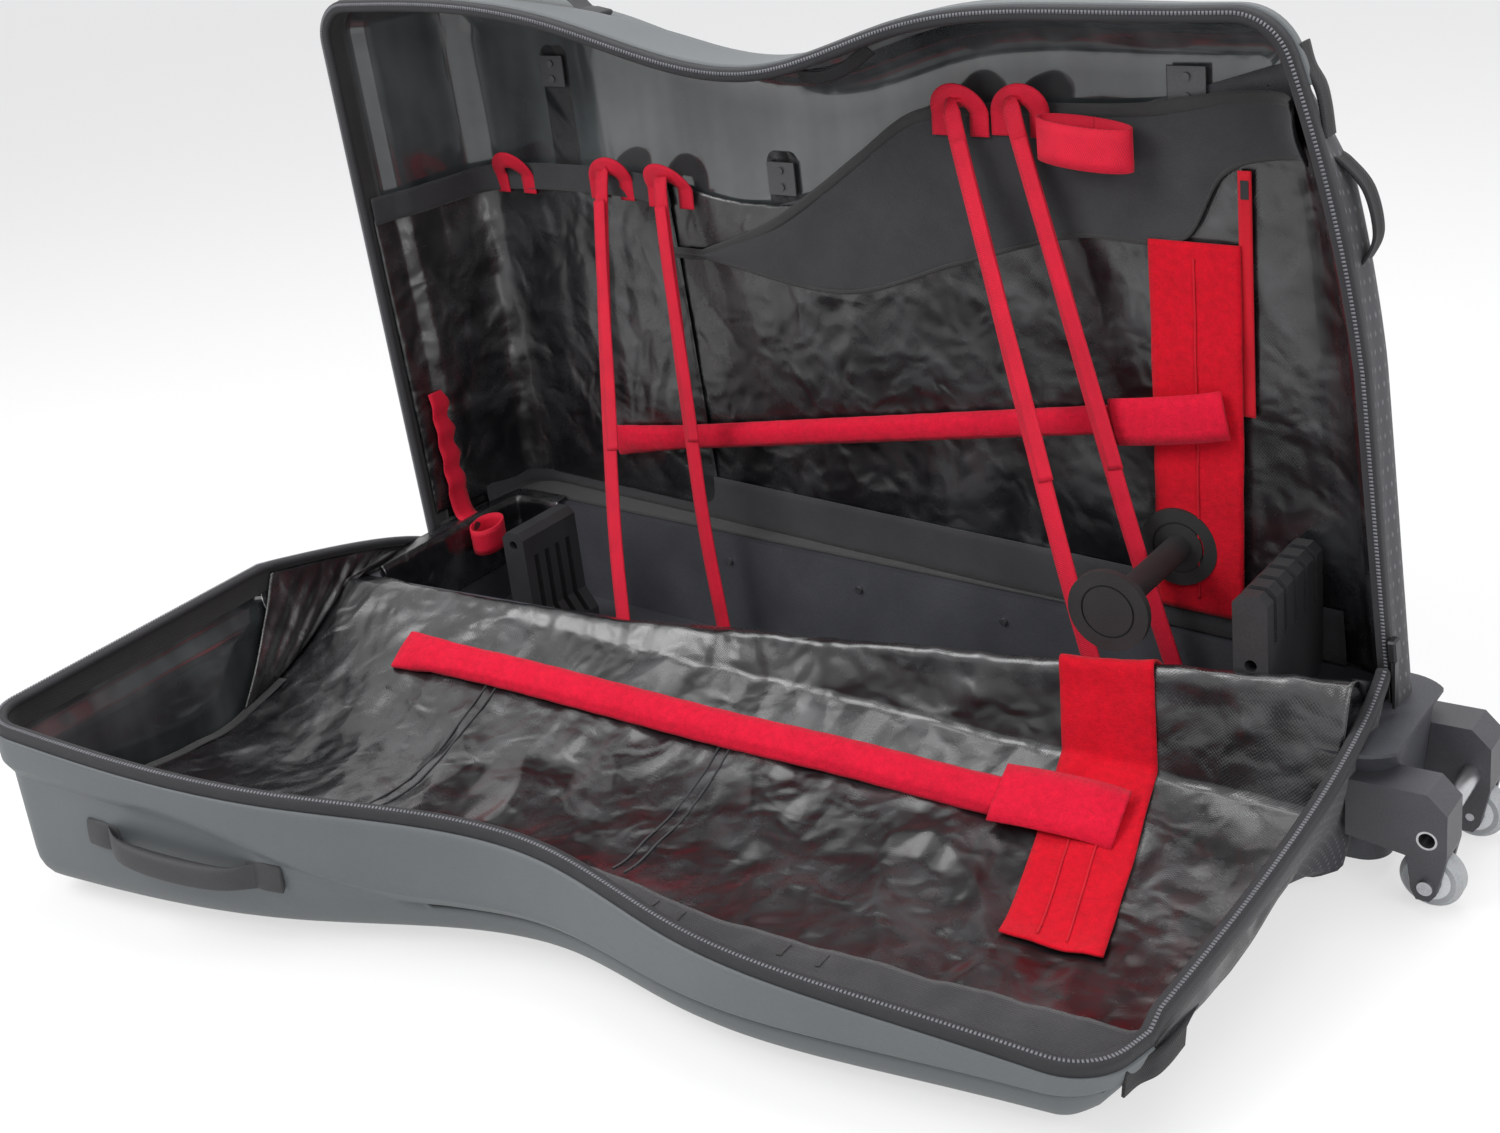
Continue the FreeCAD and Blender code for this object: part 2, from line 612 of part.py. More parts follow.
# Ladder of webbing on the left wall, with one open loop
ladder_start = Vector(dim["rim_left"] + dim["depth_right"] - FAR, dim["ladder_y"], dim["ladder_low"])
ladder_area = Part.makeBox(FAR, dim["ladder_width"], dim["ladder_top"] - dim["ladder_low"], ladder_start)
ladder = layer(FITTING, dim["loop_thick"]).common(ladder_area)
ring_reach = dim["step_inset"] + FITTING + dim["ladder_loop"]
ring_start = Vector(dim["rim_left"], dim["ladder_y"], dim["ladder_low"] + dim["ladder_loop"])
ring = Part.makeBox(ring_reach, dim["ladder_width"], dim["ladder_loop"], ring_start)
ring = ring.cut(Part.makeBox(ring_reach - dim["webbing"], dim["ladder_width"],
                             dim["ladder_loop"] - 2 * dim["webbing"],
                             ring_start + Vector(0, 0, dim["webbing"])))
feature("ladder_strap", ladder.fuse(ring.common(hull(FITTING + dim["layer_gap"], dim["rim_tape"]))))

# Webbing loops along the pockets: middle of each loop's foot, and the layer it is sewn to
LOOP_SPOTS = [(-583, 586, FITTING), (-404, 576, POCKET), (-304, 572, POCKET), (131, 660, FITTING),
              (205, 669, FITTING)]


def webbing_loop(x, z, skin):
    outer = wall_panel(rectangle(x, z, dim["loop_width"], dim["loop_height"]), skin, dim["webbing"])
    hole = rectangle(x, z + dim["loop_band"], dim["loop_width"] - 2 * dim["loop_band"],
                     dim["loop_height"] - 2 * dim["loop_band"])
    return outer.cut(wall_panel(hole, skin - 1, dim["webbing"] + 2))


feature("pocket_loops", Part.makeCompound([webbing_loop(*spot) for spot in LOOP_SPOTS]))


def band_face(length, out, inset, radius):
    """Plan of a closed strap that stands out from the wall."""
    left, right = inset - length / 2, length / 2 - inset
    corners = [Vector(left, inset - out, 0), Vector(right, inset - out, 0), Vector(right, -inset, 0),
               Vector(left, -inset, 0)]
    return Part.Face(rounded(corners, radius - inset))


seat_round = dim["seat_strap_out"] / 4
seat_plan = band_face(dim["seat_strap_length"], dim["seat_strap_out"], 0, seat_round).cut(
    band_face(dim["seat_strap_length"], dim["seat_strap_out"], dim["webbing"], seat_round))
seat_plan.translate(point(dim["seat_strap_x"], dim["seat_strap_z"] - dim["seat_strap_height"]))
seat_band = seat_plan.extrude(point(0, dim["seat_strap_height"]))
feature("seat_strap", on_wall(seat_band, FITTING + dim["seat_gap"]))

# Frame straps: from a pocket loop down to an anchor on the tub floor
TUB_FLOOR = "(tub_low + tub_wall)"
tub_floor = worked_out(TUB_FLOOR)
STRAPS = {"front_strap_near": (1, (-284, -60)), "front_strap_far": (2, (-224, 58)),
          "rear_strap_near": (3, (360, -46)), "rear_strap_far": (4, (398, 48))}


def strap(top, foot):
    """A flat band from top to foot that faces the front."""
    run = (foot - top).normalize()
    across = run.cross(Vector(0, 1, 0)).normalize() * dim["strap_width"]
    through = run.cross(across).normalize() * dim["strap_thick"]
    corner = top - across * 0.5 - through * 0.5
    corners = [corner, corner + across, corner + across + through, corner + through, corner]
    return Part.Face(Part.makePolygon(corners)).extrude(foot - top)


anchors = []
strap_foot_z = tub_floor + dim["anchor_height"] + 2 * dim["seat_gap"] + dim["strap_thick"]
for label, (number, (x, y)) in STRAPS.items():
    loop_x, loop_z, skin = LOOP_SPOTS[number]
    strap_skin = skin + dim["webbing"] + 1.5 * dim["strap_thick"]
    top = Vector(loop_x, depth(loop_x + dim["loop_width"] / 2) - strap_skin, loop_z + dim["loop_band"] / 2)
    feature(label, strap(top, Vector(x, y, strap_foot_z)))
    anchors.append(box(f"anchor_{number}", x, y, TUB_FLOOR, "anchor_length", "anchor_width", "anchor_height"))
group("strap_anchors", anchors)

# Spacer strut between the two loop panels
strut_axis = Vector(0, 1, 0)
disc_skin = POCKET + dim["loop_thick"] + dim["seat_gap"]
disc_back = depth(dim["spacer_x"] + dim["disc_radius"]) - disc_skin
DISC_GROOVES = (0.62,)


def disc(start):
    """A hook disc with grooves in its front."""
    blank = Part.makeCylinder(dim["disc_radius"], dim["disc_thick"], start, strut_axis)
    groove = dim["disc_thick"] / 4
    for share in DISC_GROOVES:
        radius = dim["disc_radius"] * share
        ring = Part.makeCylinder(radius + groove, groove, start, strut_axis)
        blank = blank.cut(ring.cut(Part.makeCylinder(radius, groove, start, strut_axis)))
    return blank


front_start = Vector(dim["spacer_x"], dim["spacer_front"], dim["spacer_z"])
back_start = Vector(dim["spacer_x"], disc_back - dim["disc_thick"], dim["spacer_z"])
feature("spacer_disc_near", disc(front_start))
feature("spacer_disc_far", disc(back_start))
tube_start = front_start + strut_axis * dim["disc_thick"]
tube_length = back_start.y - tube_start.y
spacer_bore = Part.makeCylinder(dim["spacer_radius"] - dim["bar_wall"], tube_length, tube_start, strut_axis)
feature("spacer_tube",
        Part.makeCylinder(dim["spacer_radius"], tube_length, tube_start, strut_axis).cut(spacer_bore))

# Base tub with its flange, feet and screws
flange = Part.Face(tub_plan(dim["tub_flange"], dim["hull_low"] - dim["tub_rim"])).extrude(
    Vector(0, 0, dim["tub_rim"]))
end_trim = Part.makeBox(FAR, FAR, FAR, Vector(dim["tub_right"], -FAR / 2, -FAR / 2))
tub_outer = tub_block(0, dim["tub_low"], dim["hull_low"]).fuse(flange.cut(end_trim))
feature("base_tub", tub_outer.cut(tub_room(tub_floor, dim["hull_low"] + 1)).removeSplitter())
SIDES = (("near", -1), ("far", 1))
group("base_feet", [primitive("Cone", f"foot_{side}", "foot_x", f"{sign} * foot_y", 0, Radius1="foot_radius",
                              Radius2="foot_top_radius", Height="tub_low") for side, sign in SIDES])
TUB_SCREWS = (-450, -250, -50, 150, 350)
TUB_SCREW_HEAD = 3
screws = []
for number, x in enumerate(TUB_SCREWS):
    half = f"tub_half_left + (tub_half_right - tub_half_left) * ({x} - tub_left) / (tub_right - tub_left)"
    y = f"{half} - tub_wall - tub_draft / 4 - {TUB_SCREW_HEAD} - 3 * seat_gap"
    screws.append(rod(f"tub_screw_{number}", x, y, "hull_low - tub_screw_drop", "screw_radius",
                      TUB_SCREW_HEAD, "y"))
group("tub_screws", screws)

# Wheels in brackets that wrap the tub's end corners
BRACKET_BACK = "tub_right - tub_corner"
BRACKET_FRONT = "wheel_x + bracket_nose"
BRACKET = [(BRACKET_BACK, "bracket_top"), ("wheel_x", "bracket_top"),
           (BRACKET_FRONT, "bracket_top - bracket_nose"), (BRACKET_FRONT, "bar_z - 14"),
           ("wheel_x + 9", "bracket_foot + 8"), ("wheel_x + 3", "bracket_foot"),
           ("wheel_x - 9", "bracket_foot"), ("wheel_x - 14", "bracket_foot + 10"),
           ("wheel_x - bracket_nose", "bar_z - 20"), (BRACKET_BACK, "bar_z - 12")]
HUB_GAP = "(axle_radius + running_gap)"
HALF = "(wheel_width / 2)"
INNER = f"({HALF} - bearing_width)"
TYRE = [("hub_radius", f"-{HALF}"), ("wheel_radius - tyre_edge", f"-{HALF}"),
        ("wheel_radius", "-(wheel_width / 4)"), ("wheel_radius", "wheel_width / 4"),
        ("wheel_radius - tyre_edge", HALF), ("hub_radius", HALF)]
HUB = [("bearing_radius", f"-{HALF}"), ("hub_radius", f"-{HALF}"), ("hub_radius", HALF),
       ("bearing_radius", HALF), ("bearing_radius", INNER), ("bearing_radius - bearing_lip", INNER),
       ("bearing_radius - bearing_lip", f"-{INNER}"), ("bearing_radius", f"-{INNER}")]
saddle_block = tub_block(dim["seat_gap"], dim["tub_low"], dim["hull_low"])
for side, sign in SIDES:
    middle = f"{sign} * wheel_y"
    start = f"{middle} - bracket_width / 2"
    place = {"Placement_Base_x": "wheel_x", "Placement_Base_y": middle, "Placement_Base_z": "wheel_radius"}
    arm = padded(f"arm_{side}", "XZ_Plane", BRACKET, "bracket_width", Placement_Base_y=middle)
    well = rod(f"well_{side}", "wheel_x", f"{middle} - wheel_width / 2 - 1", "wheel_radius",
               "wheel_radius + wheel_room", "wheel_width + 2", "y")
    axle_hole = rod(f"axle_hole_{side}", "wheel_x", start, "wheel_radius", HUB_GAP, "bracket_width", "y")
    bar_hole = rod(f"bar_hole_{side}", "wheel_x", start, "bar_z", "bar_radius + running_gap",
                   "bracket_width", "y")
    saddle = shaped(f"saddle_{side}", saddle_block)
    keep(cut(f"bracket_{side}", arm, well, axle_hole, bar_hole, saddle), f"wheel_bracket_{side}")
    shank = rod(f"shank_{side}", "wheel_x", start, "wheel_radius", "axle_radius", "bracket_width", "y")
    outside = f"{start} - bolt_head_height" if sign < 0 else f"{start} + bracket_width"
    head = rod(f"head_{side}", "wheel_x", outside, "wheel_radius", "bolt_head", "bolt_head_height", "y")
    keep(fuse(f"axle_{side}", shank, head), f"axle_{side}")
    keep(turned(f"tyre_{side}", TYRE, **place), f"wheel_{side}_tyre")
    keep(turned(f"hub_{side}", HUB, **place), f"wheel_{side}_hub")
    rings = []
    for end, (low, high) in {"front": (f"-{HALF}", f"-{INNER}"), "back": (INNER, HALF)}.items():
        race = [(HUB_GAP, low), ("bearing_radius", low), ("bearing_radius", high), (HUB_GAP, high)]
        rings.append(turned(f"bearing_{side}_{end}", race, **place))
    group(f"wheel_{side}_bearings", rings)
BAR_LENGTH = "(2 * wheel_y + bracket_width)"
bar = rod("bar_outside", "wheel_x", f"-{BAR_LENGTH} / 2", "bar_z", "bar_radius", BAR_LENGTH, "y")
bore = rod("bar_inside", "wheel_x", f"-{BAR_LENGTH} / 2", "bar_z", "bar_radius - bar_wall", BAR_LENGTH, "y")
keep(cut("grip_bar", bar, bore), "grip_bar")

# Axle adapters: a slotted rail and its two posts
RAIL_TOP = f"({TUB_FLOOR} + rail_height)"
LIP = "rail_height - slot_lip"
BED = "rail_height - slot_deep"
RAIL = [("-rail_half", 0), ("rail_half", 0), ("rail_half", "rail_height"), ("slot_half", "rail_height"),
        ("slot_half", LIP), ("slot_room", LIP), ("slot_room", BED), ("-slot_room", BED),
        ("-slot_room", LIP), ("-slot_half", LIP), ("-slot_half", "rail_height"),
        ("-rail_half", "rail_height")]
keep(padded("rail_body", "YZ_Plane", RAIL, "rail_end - rail_start",
            Placement_Base_x="(rail_start + rail_end) / 2", Placement_Base_z=TUB_FLOOR), "adapter_rail")
POST_FOOT = f"({RAIL_TOP} + seat_gap)"


def post_profile(top):
    """Side view of a post: broad foot, waist and head."""
    right = [("post_half", POST_FOOT), ("post_half", f"{POST_FOOT} + post_heel"),
             ("post_eye", f"{POST_FOOT} + post_slope"), ("post_eye", f"{top} - post_eye / 2"),
             ("post_eye / 2", top)]
    left = [(f"-{across}", up) for across, up in reversed(right)]
    return right + left


def post(name, x, axle_z, top, width, foot, slots):
    """A moulded post with its axle bore, narrower foot, key in the rail and upright slots."""
    block = padded(f"{name}_block", "XZ_Plane", post_profile(top), width, Placement_Base_x=x)
    neck = box(f"{name}_neck", x, 0, f"{RAIL_TOP} - slot_lip - 1", "2 * post_eye",
               "2 * (slot_half - slide_gap)", "slot_lip + seat_gap + 2")
    nut = box(f"{name}_nut", x, 0, f"{RAIL_TOP} - slot_deep + slide_gap", "2 * post_eye",
              "2 * (slot_room - slide_gap)", "slot_deep - slot_lip - 2 * slide_gap")
    tools = [rod(f"{name}_bore", x, f"-({width}) / 2", axle_z, "axle_bore", width, "y")]
    if worked_out(foot) < worked_out(width):
        for side, sign in SIDES:
            tools.append(box(f"{name}_room_{side}", x, f"{sign} * {width} / 2", TUB_FLOOR, "3 * post_half",
                             f"{width} - {foot}", f"hull_low + tub_wall - {TUB_FLOOR}"))
    for number, (share, low, high) in enumerate(slots):
        tools.append(box(f"{name}_slot_{number}", x, f"{width} * {share}", low, "3 * post_half", "post_slot",
                         f"{high} - ({low})"))
    keep(cut(name, fuse(name, block, neck, nut), *tools), name)


FORK_SLOTS = (-0.3, -0.1, 0.1, 0.3)
REAR_SLOTS = (-0.36, -0.18, 0, 0.18, 0.36)
post("fork_post", "fork_x", "fork_axle_z", "(fork_axle_z + post_eye)", "fork_width", "fork_foot",
     [(share, f"{POST_FOOT} + post_heel", "(fork_axle_z - post_eye)") for share in FORK_SLOTS])
post("rear_post", "rear_x", "rear_axle_z", "rear_post_top", "rear_width", "rear_foot",
     [(share, "rear_axle_z + post_eye", "(rear_post_top + 1)") for share in REAR_SLOTS])

# Main zip slider on the straight lower right of the rim, with its hanging puller
RIM_LEAN = math.atan((dim["rim_right"] - dim["right_mid_x"]) / (dim["right_mid_z"] - dim["hull_low"]))
slider_x = dim["rim_right"] + dim["rim_proud"] - (dim["slider_z"] - dim["hull_low"]) * math.tan(RIM_LEAN)
slider = Part.makeBox(dim["slider_thick"], 2 * dim["slider_half"], dim["slider_height"],
                      Vector(dim["seat_gap"], -dim["slider_half"], 0))
feature("main_zip_slider", slider.makeChamfer(dim["slider_edge"], slider.Edges),
        Placement(point(slider_x, dim["slider_z"]), Rotation(Vector(0, 1, 0), -math.degrees(RIM_LEAN))))
puller_start = Vector(slider_x + dim["slider_thick"] / 2, -dim["puller_half"],
                      dim["slider_z"] - dim["puller_length"])
feature("main_zip_puller",
        Part.makeBox(dim["webbing"], 2 * dim["puller_half"], dim["puller_length"], puller_start))
print("zip direction", -math.sin(RIM_LEAN), math.cos(RIM_LEAN))


# Fabric hinge: a slack fold of liner and outer cloth between the tub's flange and the lid
GUSSET_GAP = dim["layer_gap"]
END_ROOM = 40


def gusset_section(x, tub_half, lid_low):
    """Section of the fold across the hinge at one end of the case."""
    foot = LID_POSE.multVec(Vector(x, -dim["rim_tape"], lid_low))
    back = -tub_half - dim["tub_flange"] - GUSSET_GAP
    front = max(foot.y, LID_POSE.multVec(Vector(x, -depth(x), lid_low)).y) + GUSSET_GAP
    low = dim["skid_height"] + dim["wall"]
    shelf = dim["hull_low"] + GUSSET_GAP
    inside = back + dim["tub_flange"] + GUSSET_GAP
    crest = (shelf + dim["gusset_top"]) / 2
    corners = [(back, low), (front, low), (front, min(foot.z, crest)),
               ((back + 2 * front) / 3, dim["gusset_top"] - GUSSET_GAP), (back, dim["gusset_top"]),
               (inside, crest), (inside, shelf), (back, shelf)]
    return Part.makePolygon([Vector(foot.x, y, z) for y, z in corners + corners[:1]])


fold = Part.makeLoft(
    [gusset_section(dim["rim_left"] + END_ROOM, dim["tub_half_left"], dim["lid_low_left"]),
     gusset_section(dim["rim_right"] - END_ROOM, dim["tub_half_right"], dim["lid_low_right"])], True, True)
seat = dim["seat_gap"]
flange_room = Part.Face(tub_plan(dim["tub_flange"] + seat, dim["hull_low"] - dim["tub_rim"] - seat))
flange_room = flange_room.extrude(Vector(0, 0, dim["tub_rim"] + 2 * seat))
tub_space = tub_block(seat, dim["tub_low"], dim["hull_low"] + seat).fuse(flange_room)
feature("hinge_gusset", fold.cut(tub_space).cut(lid_wall.Shape))

# Check every object, then write one file for each sub-part
doc.recompute()
for item in doc.Objects:
    if "Invalid" in item.State or "Error" in item.State:
        raise RuntimeError(f"{item.Name} failed: {item.State}")
for piece in parts:
    if piece.Shape.isNull() or not piece.Shape.isValid() or not piece.Shape.Solids:
        raise RuntimeError(f"{piece.Label} has no valid solid")
os.makedirs("parts", exist_ok=True)
for piece in parts:
    piece.Shape.exportStep(f"parts/{piece.Label}.step")
print(len(parts), "sub-parts,", sum(len(piece.Shape.Solids) for piece in parts), "solids")
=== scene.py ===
# %% [markdown]
# # An opened bike travel case
# The case is a clamshell. Its upright half stands on a moulded base with two wheels, and its other half,
# the lid, lies open on the floor. Both halves have a hard upper shell, a fabric lower wall, a zip round the
# rim and a shiny lining with pockets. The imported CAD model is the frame: its rigid pieces only get finishes,
# and the finer pieces made here take the place of its plain shells and soft solids.

# %% Load the frame
import json
import math

import bmesh
import bpy
from mathutils import Matrix, Vector, noise
from mathutils.bvhtree import BVHTree


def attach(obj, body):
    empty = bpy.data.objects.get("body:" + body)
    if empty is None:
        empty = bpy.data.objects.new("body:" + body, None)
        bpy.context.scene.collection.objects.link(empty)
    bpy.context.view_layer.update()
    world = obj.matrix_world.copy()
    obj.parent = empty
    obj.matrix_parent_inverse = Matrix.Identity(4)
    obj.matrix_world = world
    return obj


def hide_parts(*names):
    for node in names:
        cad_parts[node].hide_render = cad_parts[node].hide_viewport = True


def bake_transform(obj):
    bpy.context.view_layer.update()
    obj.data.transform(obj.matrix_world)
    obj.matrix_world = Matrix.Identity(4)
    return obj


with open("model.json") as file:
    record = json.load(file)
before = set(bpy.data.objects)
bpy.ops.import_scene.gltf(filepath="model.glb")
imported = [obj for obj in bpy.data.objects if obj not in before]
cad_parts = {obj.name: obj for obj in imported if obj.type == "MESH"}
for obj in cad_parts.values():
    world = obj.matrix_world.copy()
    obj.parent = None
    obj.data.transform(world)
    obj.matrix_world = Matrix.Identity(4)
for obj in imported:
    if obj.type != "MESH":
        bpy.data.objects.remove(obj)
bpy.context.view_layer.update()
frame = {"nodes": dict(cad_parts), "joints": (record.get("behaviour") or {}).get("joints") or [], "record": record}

# %% [markdown]
# ## The shape of one half
# Both halves are the same wedge, deep at the left and shallow at the wheel end. Everything soft or hard in
# the case follows that wedge, so it is described once, in millimetres: first the rim outline, whose top edge
# is felt on the frame's own rim, and then the rings of the wall.

# %% Outline and depth of a half
MM = 0.001
RIM_LEFT, RIM_RIGHT, RIM_LOW = -662, 613, 150
LEFT_LEAN, LEFT_TOP, LEFT_CORNER = 28, 838, 46
RIGHT_TOP, RIGHT_TOP_X, RIGHT_CORNER, RIGHT_LEAN = 805, 526, 60, math.radians(18.6)
RIGHT_BOW, RIGHT_MID = (561, 628), (587, 480)
TIGHT, ABOVE = 10, 2000
RIM_PROUD, RIM_FRONT = 2, 14
DEPTH_LEFT, DEPTH_RIGHT = 215, 76
rim_mesh = frame["nodes"]["rear_rim_zip"].data
rim_tree = BVHTree.FromPolygons([vertex.co.copy() for vertex in rim_mesh.vertices],
                                [tuple(face.vertices) for face in rim_mesh.polygons])


def between(left, right, x):
    """A size that runs evenly from the left end of the rim to its wheel end."""
    return left + (right - left) * (x - RIM_LEFT) / (RIM_RIGHT - RIM_LEFT)


def depth(x):
    """Depth of a half at one place along its length."""
    return between(DEPTH_LEFT, DEPTH_RIGHT, x)


def top_edge(x):
    """Height of the rim's top edge, felt from above on the frame's own rim."""
    place = rim_tree.ray_cast(Vector((x, RIM_FRONT / 2, ABOVE)) * MM, Vector((0, 0, -1)))[0]
    return place.z / MM - RIM_PROUD if place else LEFT_TOP


def circle_through(a, b, c):
    """Centre and radius of the circle through three points."""
    (ax, ay), (bx, by), (cx, cy) = a, b, c
    d = 2 * (ax * (by - cy) + bx * (cy - ay) + cx * (ay - by))
    aa, bb, cc = ax * ax + ay * ay, bx * bx + by * by, cx * cx + cy * cy
    x = (aa * (by - cy) + bb * (cy - ay) + cc * (ay - by)) / d
    y = (aa * (cx - bx) + bb * (ax - cx) + cc * (bx - ax)) / d
    return (x, y), math.hypot(ax - x, ay - y)


right_centre = (RIGHT_TOP_X - RIGHT_CORNER, RIGHT_TOP - RIGHT_CORNER)
right_start = (right_centre[0] + RIGHT_CORNER * math.cos(RIGHT_LEAN),
               right_centre[1] + RIGHT_CORNER * math.sin(RIGHT_LEAN))
bow_centre, bow_radius = circle_through(right_start, RIGHT_BOW, RIGHT_MID)


def left_edge(z):
    """Left end of the rim at one height."""
    return RIM_LEFT - LEFT_LEAN * (z - RIM_LOW) / (LEFT_TOP - LEFT_CORNER - RIM_LOW)


def right_edge(z):
    """Wheel end of the rim at one height: a bow above, straight below."""
    if z > RIGHT_MID[1]:
        return bow_centre[0] + math.sqrt(bow_radius ** 2 - (min(z, right_start[1]) - bow_centre[1]) ** 2)
    return RIGHT_MID[0] + (RIM_RIGHT - RIGHT_MID[0]) * (RIGHT_MID[1] - z) / (RIGHT_MID[1] - RIM_LOW)


print("rim dip", round(top_edge(-45)), "right edge", [round(right_edge(z)) for z in (200, 480, 700)])

# %% [markdown]
# ## Rings and lines
# A moulded wall can be thought of as a stack of rings: the rim, a band below it, a small step, the drafted
# wall and the round edge into the flat back. Each ring says how far the wall has come in and back. The hard
# shell is laid out on the rings, and the cloth on level cuts through them, which are U-shaped. Two helpers go
# with them: one spaces points evenly along a line, and one draws a smooth border through a few heights.

# %% Rings from the rim to the back wall
BAND_DRAFT, BAND_SHARE, STEP_INSET, STEP_SHARE = 2, 0.22, 12, 0.3
SIDE_DRAFT, EDGE_ROUND, ROUND_STEPS = 18, 50, 7


def wall_rings(skin):
    """How far in, at what share of the depth, and with what offset the wall runs, from rim to back."""
    radius = EDGE_ROUND - skin
    rings = [(skin, 0, RIM_FRONT), (BAND_DRAFT + skin, BAND_SHARE, 0), (STEP_INSET + skin, STEP_SHARE, 0)]
    for step in range(ROUND_STEPS + 1):
        angle = math.pi / 2 * step / ROUND_STEPS
        rings.append((SIDE_DRAFT + EDGE_ROUND - radius * math.cos(angle), 1,
                      radius * math.sin(angle) - EDGE_ROUND))
    return rings


def section(z, skin):
    """One level cut through the wall at height z: points from the left rim round the back to the right."""
    left, right = [], []
    for inset, share, offset in wall_rings(skin):
        x = left_edge(z) + inset
        left.append(Vector((x, share * depth(x) + offset, z)))
        x = right_edge(z) - inset
        right.append(Vector((x, share * depth(x) + offset, z)))
    return left + right[::-1]


def runs_of(points):
    """Lengths of the straight runs between neighbouring points."""
    return [(b - a).length for a, b in zip(points, points[1:])]


def spread(points, count):
    """The same line with evenly spaced points."""
    runs = runs_of(points)
    total, spaced, index, passed = sum(runs), [], 0, 0.0
    for step in range(count):
        goal = total * step / (count - 1)
        while index < len(runs) - 1 and passed + runs[index] < goal:
            passed += runs[index]
            index += 1
        spaced.append(points[index].lerp(points[index + 1], min((goal - passed) / max(runs[index], 1e-9), 1)))
    return spaced


def polyline(points):
    """A function for the height of a border at any x, smooth through its points."""
    def slope(index):
        first, last = points[max(index - 1, 0)], points[min(index + 1, len(points) - 1)]
        return (last[1] - first[1]) / (last[0] - first[0])

    def height(x):
        if x <= points[0][0]:
            return points[0][1]
        for index, ((ax, az), (bx, bz)) in enumerate(zip(points, points[1:])):
            if x <= bx:
                run, t = bx - ax, (x - ax) / (bx - ax)
                return ((1 + 2 * t) * (1 - t) ** 2 * az + t * (1 - t) ** 2 * run * slope(index)
                        + t * t * (3 - 2 * t) * bz + t * t * (t - 1) * run * slope(index + 1))
        return points[-1][1]
    return height


print("wall runs", round(sum(runs_of(section(400, 0)))), "mm round at z 400")

# %% [markdown]
# ## Where the lid lies
# The lid is the mirror image of the upright half, turned a quarter about the hinge until it lies on the
# floor. The frame's joint gives the hinge, and one matrix says the turn, so each lid piece is first thought of
# closed and then laid down.

# %% Lid pose
hinge = next(joint for joint in frame["joints"] if joint["name"] == "lid_hinge")
hinge_point, opening_axis = Vector(hinge["pos_m"]) / MM, -Vector(hinge["axis"])
lay_down = (Matrix.Translation(hinge_point) @ Matrix.Rotation(math.pi / 2, 4, opening_axis)
            @ Matrix.Translation(-hinge_point))
X, Y, Z = Vector((1, 0, 0)), Vector((0, 1, 0)), Vector((0, 0, 1))


def upright(point):
    """Place of a rear half's point: where it is."""
    return point


def in_lid(point):
    """Place of a closed lid's point when the lid is open; y counts from the zip towards the outside."""
    return lay_down @ Vector((point.x, -point.y, point.z))


print("lid hinge", hinge["name"], "lid corner", [round(c) for c in in_lid(Vector((RIM_LEFT, 0, LEFT_TOP)))])

# %% [markdown]
# ## Shader sums
# Finishes are written as sums. A small class wraps a shader socket, so that two textures can be added or
# multiplied as numbers are, and one method adds any other node.

# %% Wire: a shader socket that takes part in sums
class Wire:
    def __init__(self, tree, socket):
        self.tree, self.socket = tree, socket

    def node(self, kind, settings=None, inputs=None, output=0):
        made = self.tree.nodes.new("ShaderNode" + kind)
        for name, value in (settings or {}).items():
            setattr(made, name, value)
        for name, value in (inputs or {}).items():
            if isinstance(value, Wire):
                self.tree.links.new(value.socket, made.inputs[name])
            else:
                made.inputs[name].default_value = value
        return Wire(self.tree, made.outputs[output])

    def maths(self, operation, *others):
        return self.node("Math", {"operation": operation}, dict(enumerate((self,) + others)))

    def __add__(self, other):
        return self.maths("ADD", other)

    def __sub__(self, other):
        return self.maths("SUBTRACT", other)

    def __rsub__(self, other):
        return self.node("Math", {"operation": "SUBTRACT"}, {0: other, 1: self})

    def __mul__(self, other):
        return self.maths("MULTIPLY", other)

    __radd__, __rmul__ = __add__, __mul__

    def step(self, low, high):
        """0 below low, 1 above high."""
        return self.node("MapRange", {"interpolation_type": "SMOOTHSTEP"},
                         {"Value": self, "From Min": low, "From Max": high})

    def noise(self, size, detail=3.0, rough=0.55):
        """Cloudy noise whose patches are about `size` metres wide."""
        return self.node("TexNoise", None,
                         {"Vector": self, "Scale": 1 / size, "Detail": detail, "Roughness": rough})

    def ridges(self, size, detail=2.0):
        """Noise that runs up into sharp ridges, as creases do."""
        return self.node("TexNoise", {"noise_type": "RIDGED_MULTIFRACTAL"},
                         {"Vector": self, "Scale": 1 / size, "Detail": detail, "Roughness": 0.5})

    def part(self, axis):
        return self.node("SeparateXYZ", None, {0: self}, axis)

    def blend(self, first, second):
        """Colour from first to second as this goes from 0 to 1."""
        return self.node("Mix", {"data_type": "RGBA"}, {0: self, 6: first, 7: second}, 2)

    def relief(self, strength, height):
        """A bumped normal from this height."""
        return self.node("Bump", None, {"Height": self, "Strength": strength, "Distance": height})


def ink(red, green, blue):
    """A screen colour, 0 to 255, as the shader's own linear numbers."""
    return tuple((c / 255 / 12.92) if c < 10.3 else ((c / 255 + 0.055) / 1.055) ** 2.4
                 for c in (red, green, blue)) + (1.0,)


def tinted(colour, gain, lift=0.0):
    """A colour made paler or darker."""
    return tuple(min(c * gain + lift, 1) for c in colour[:3]) + (1.0,)


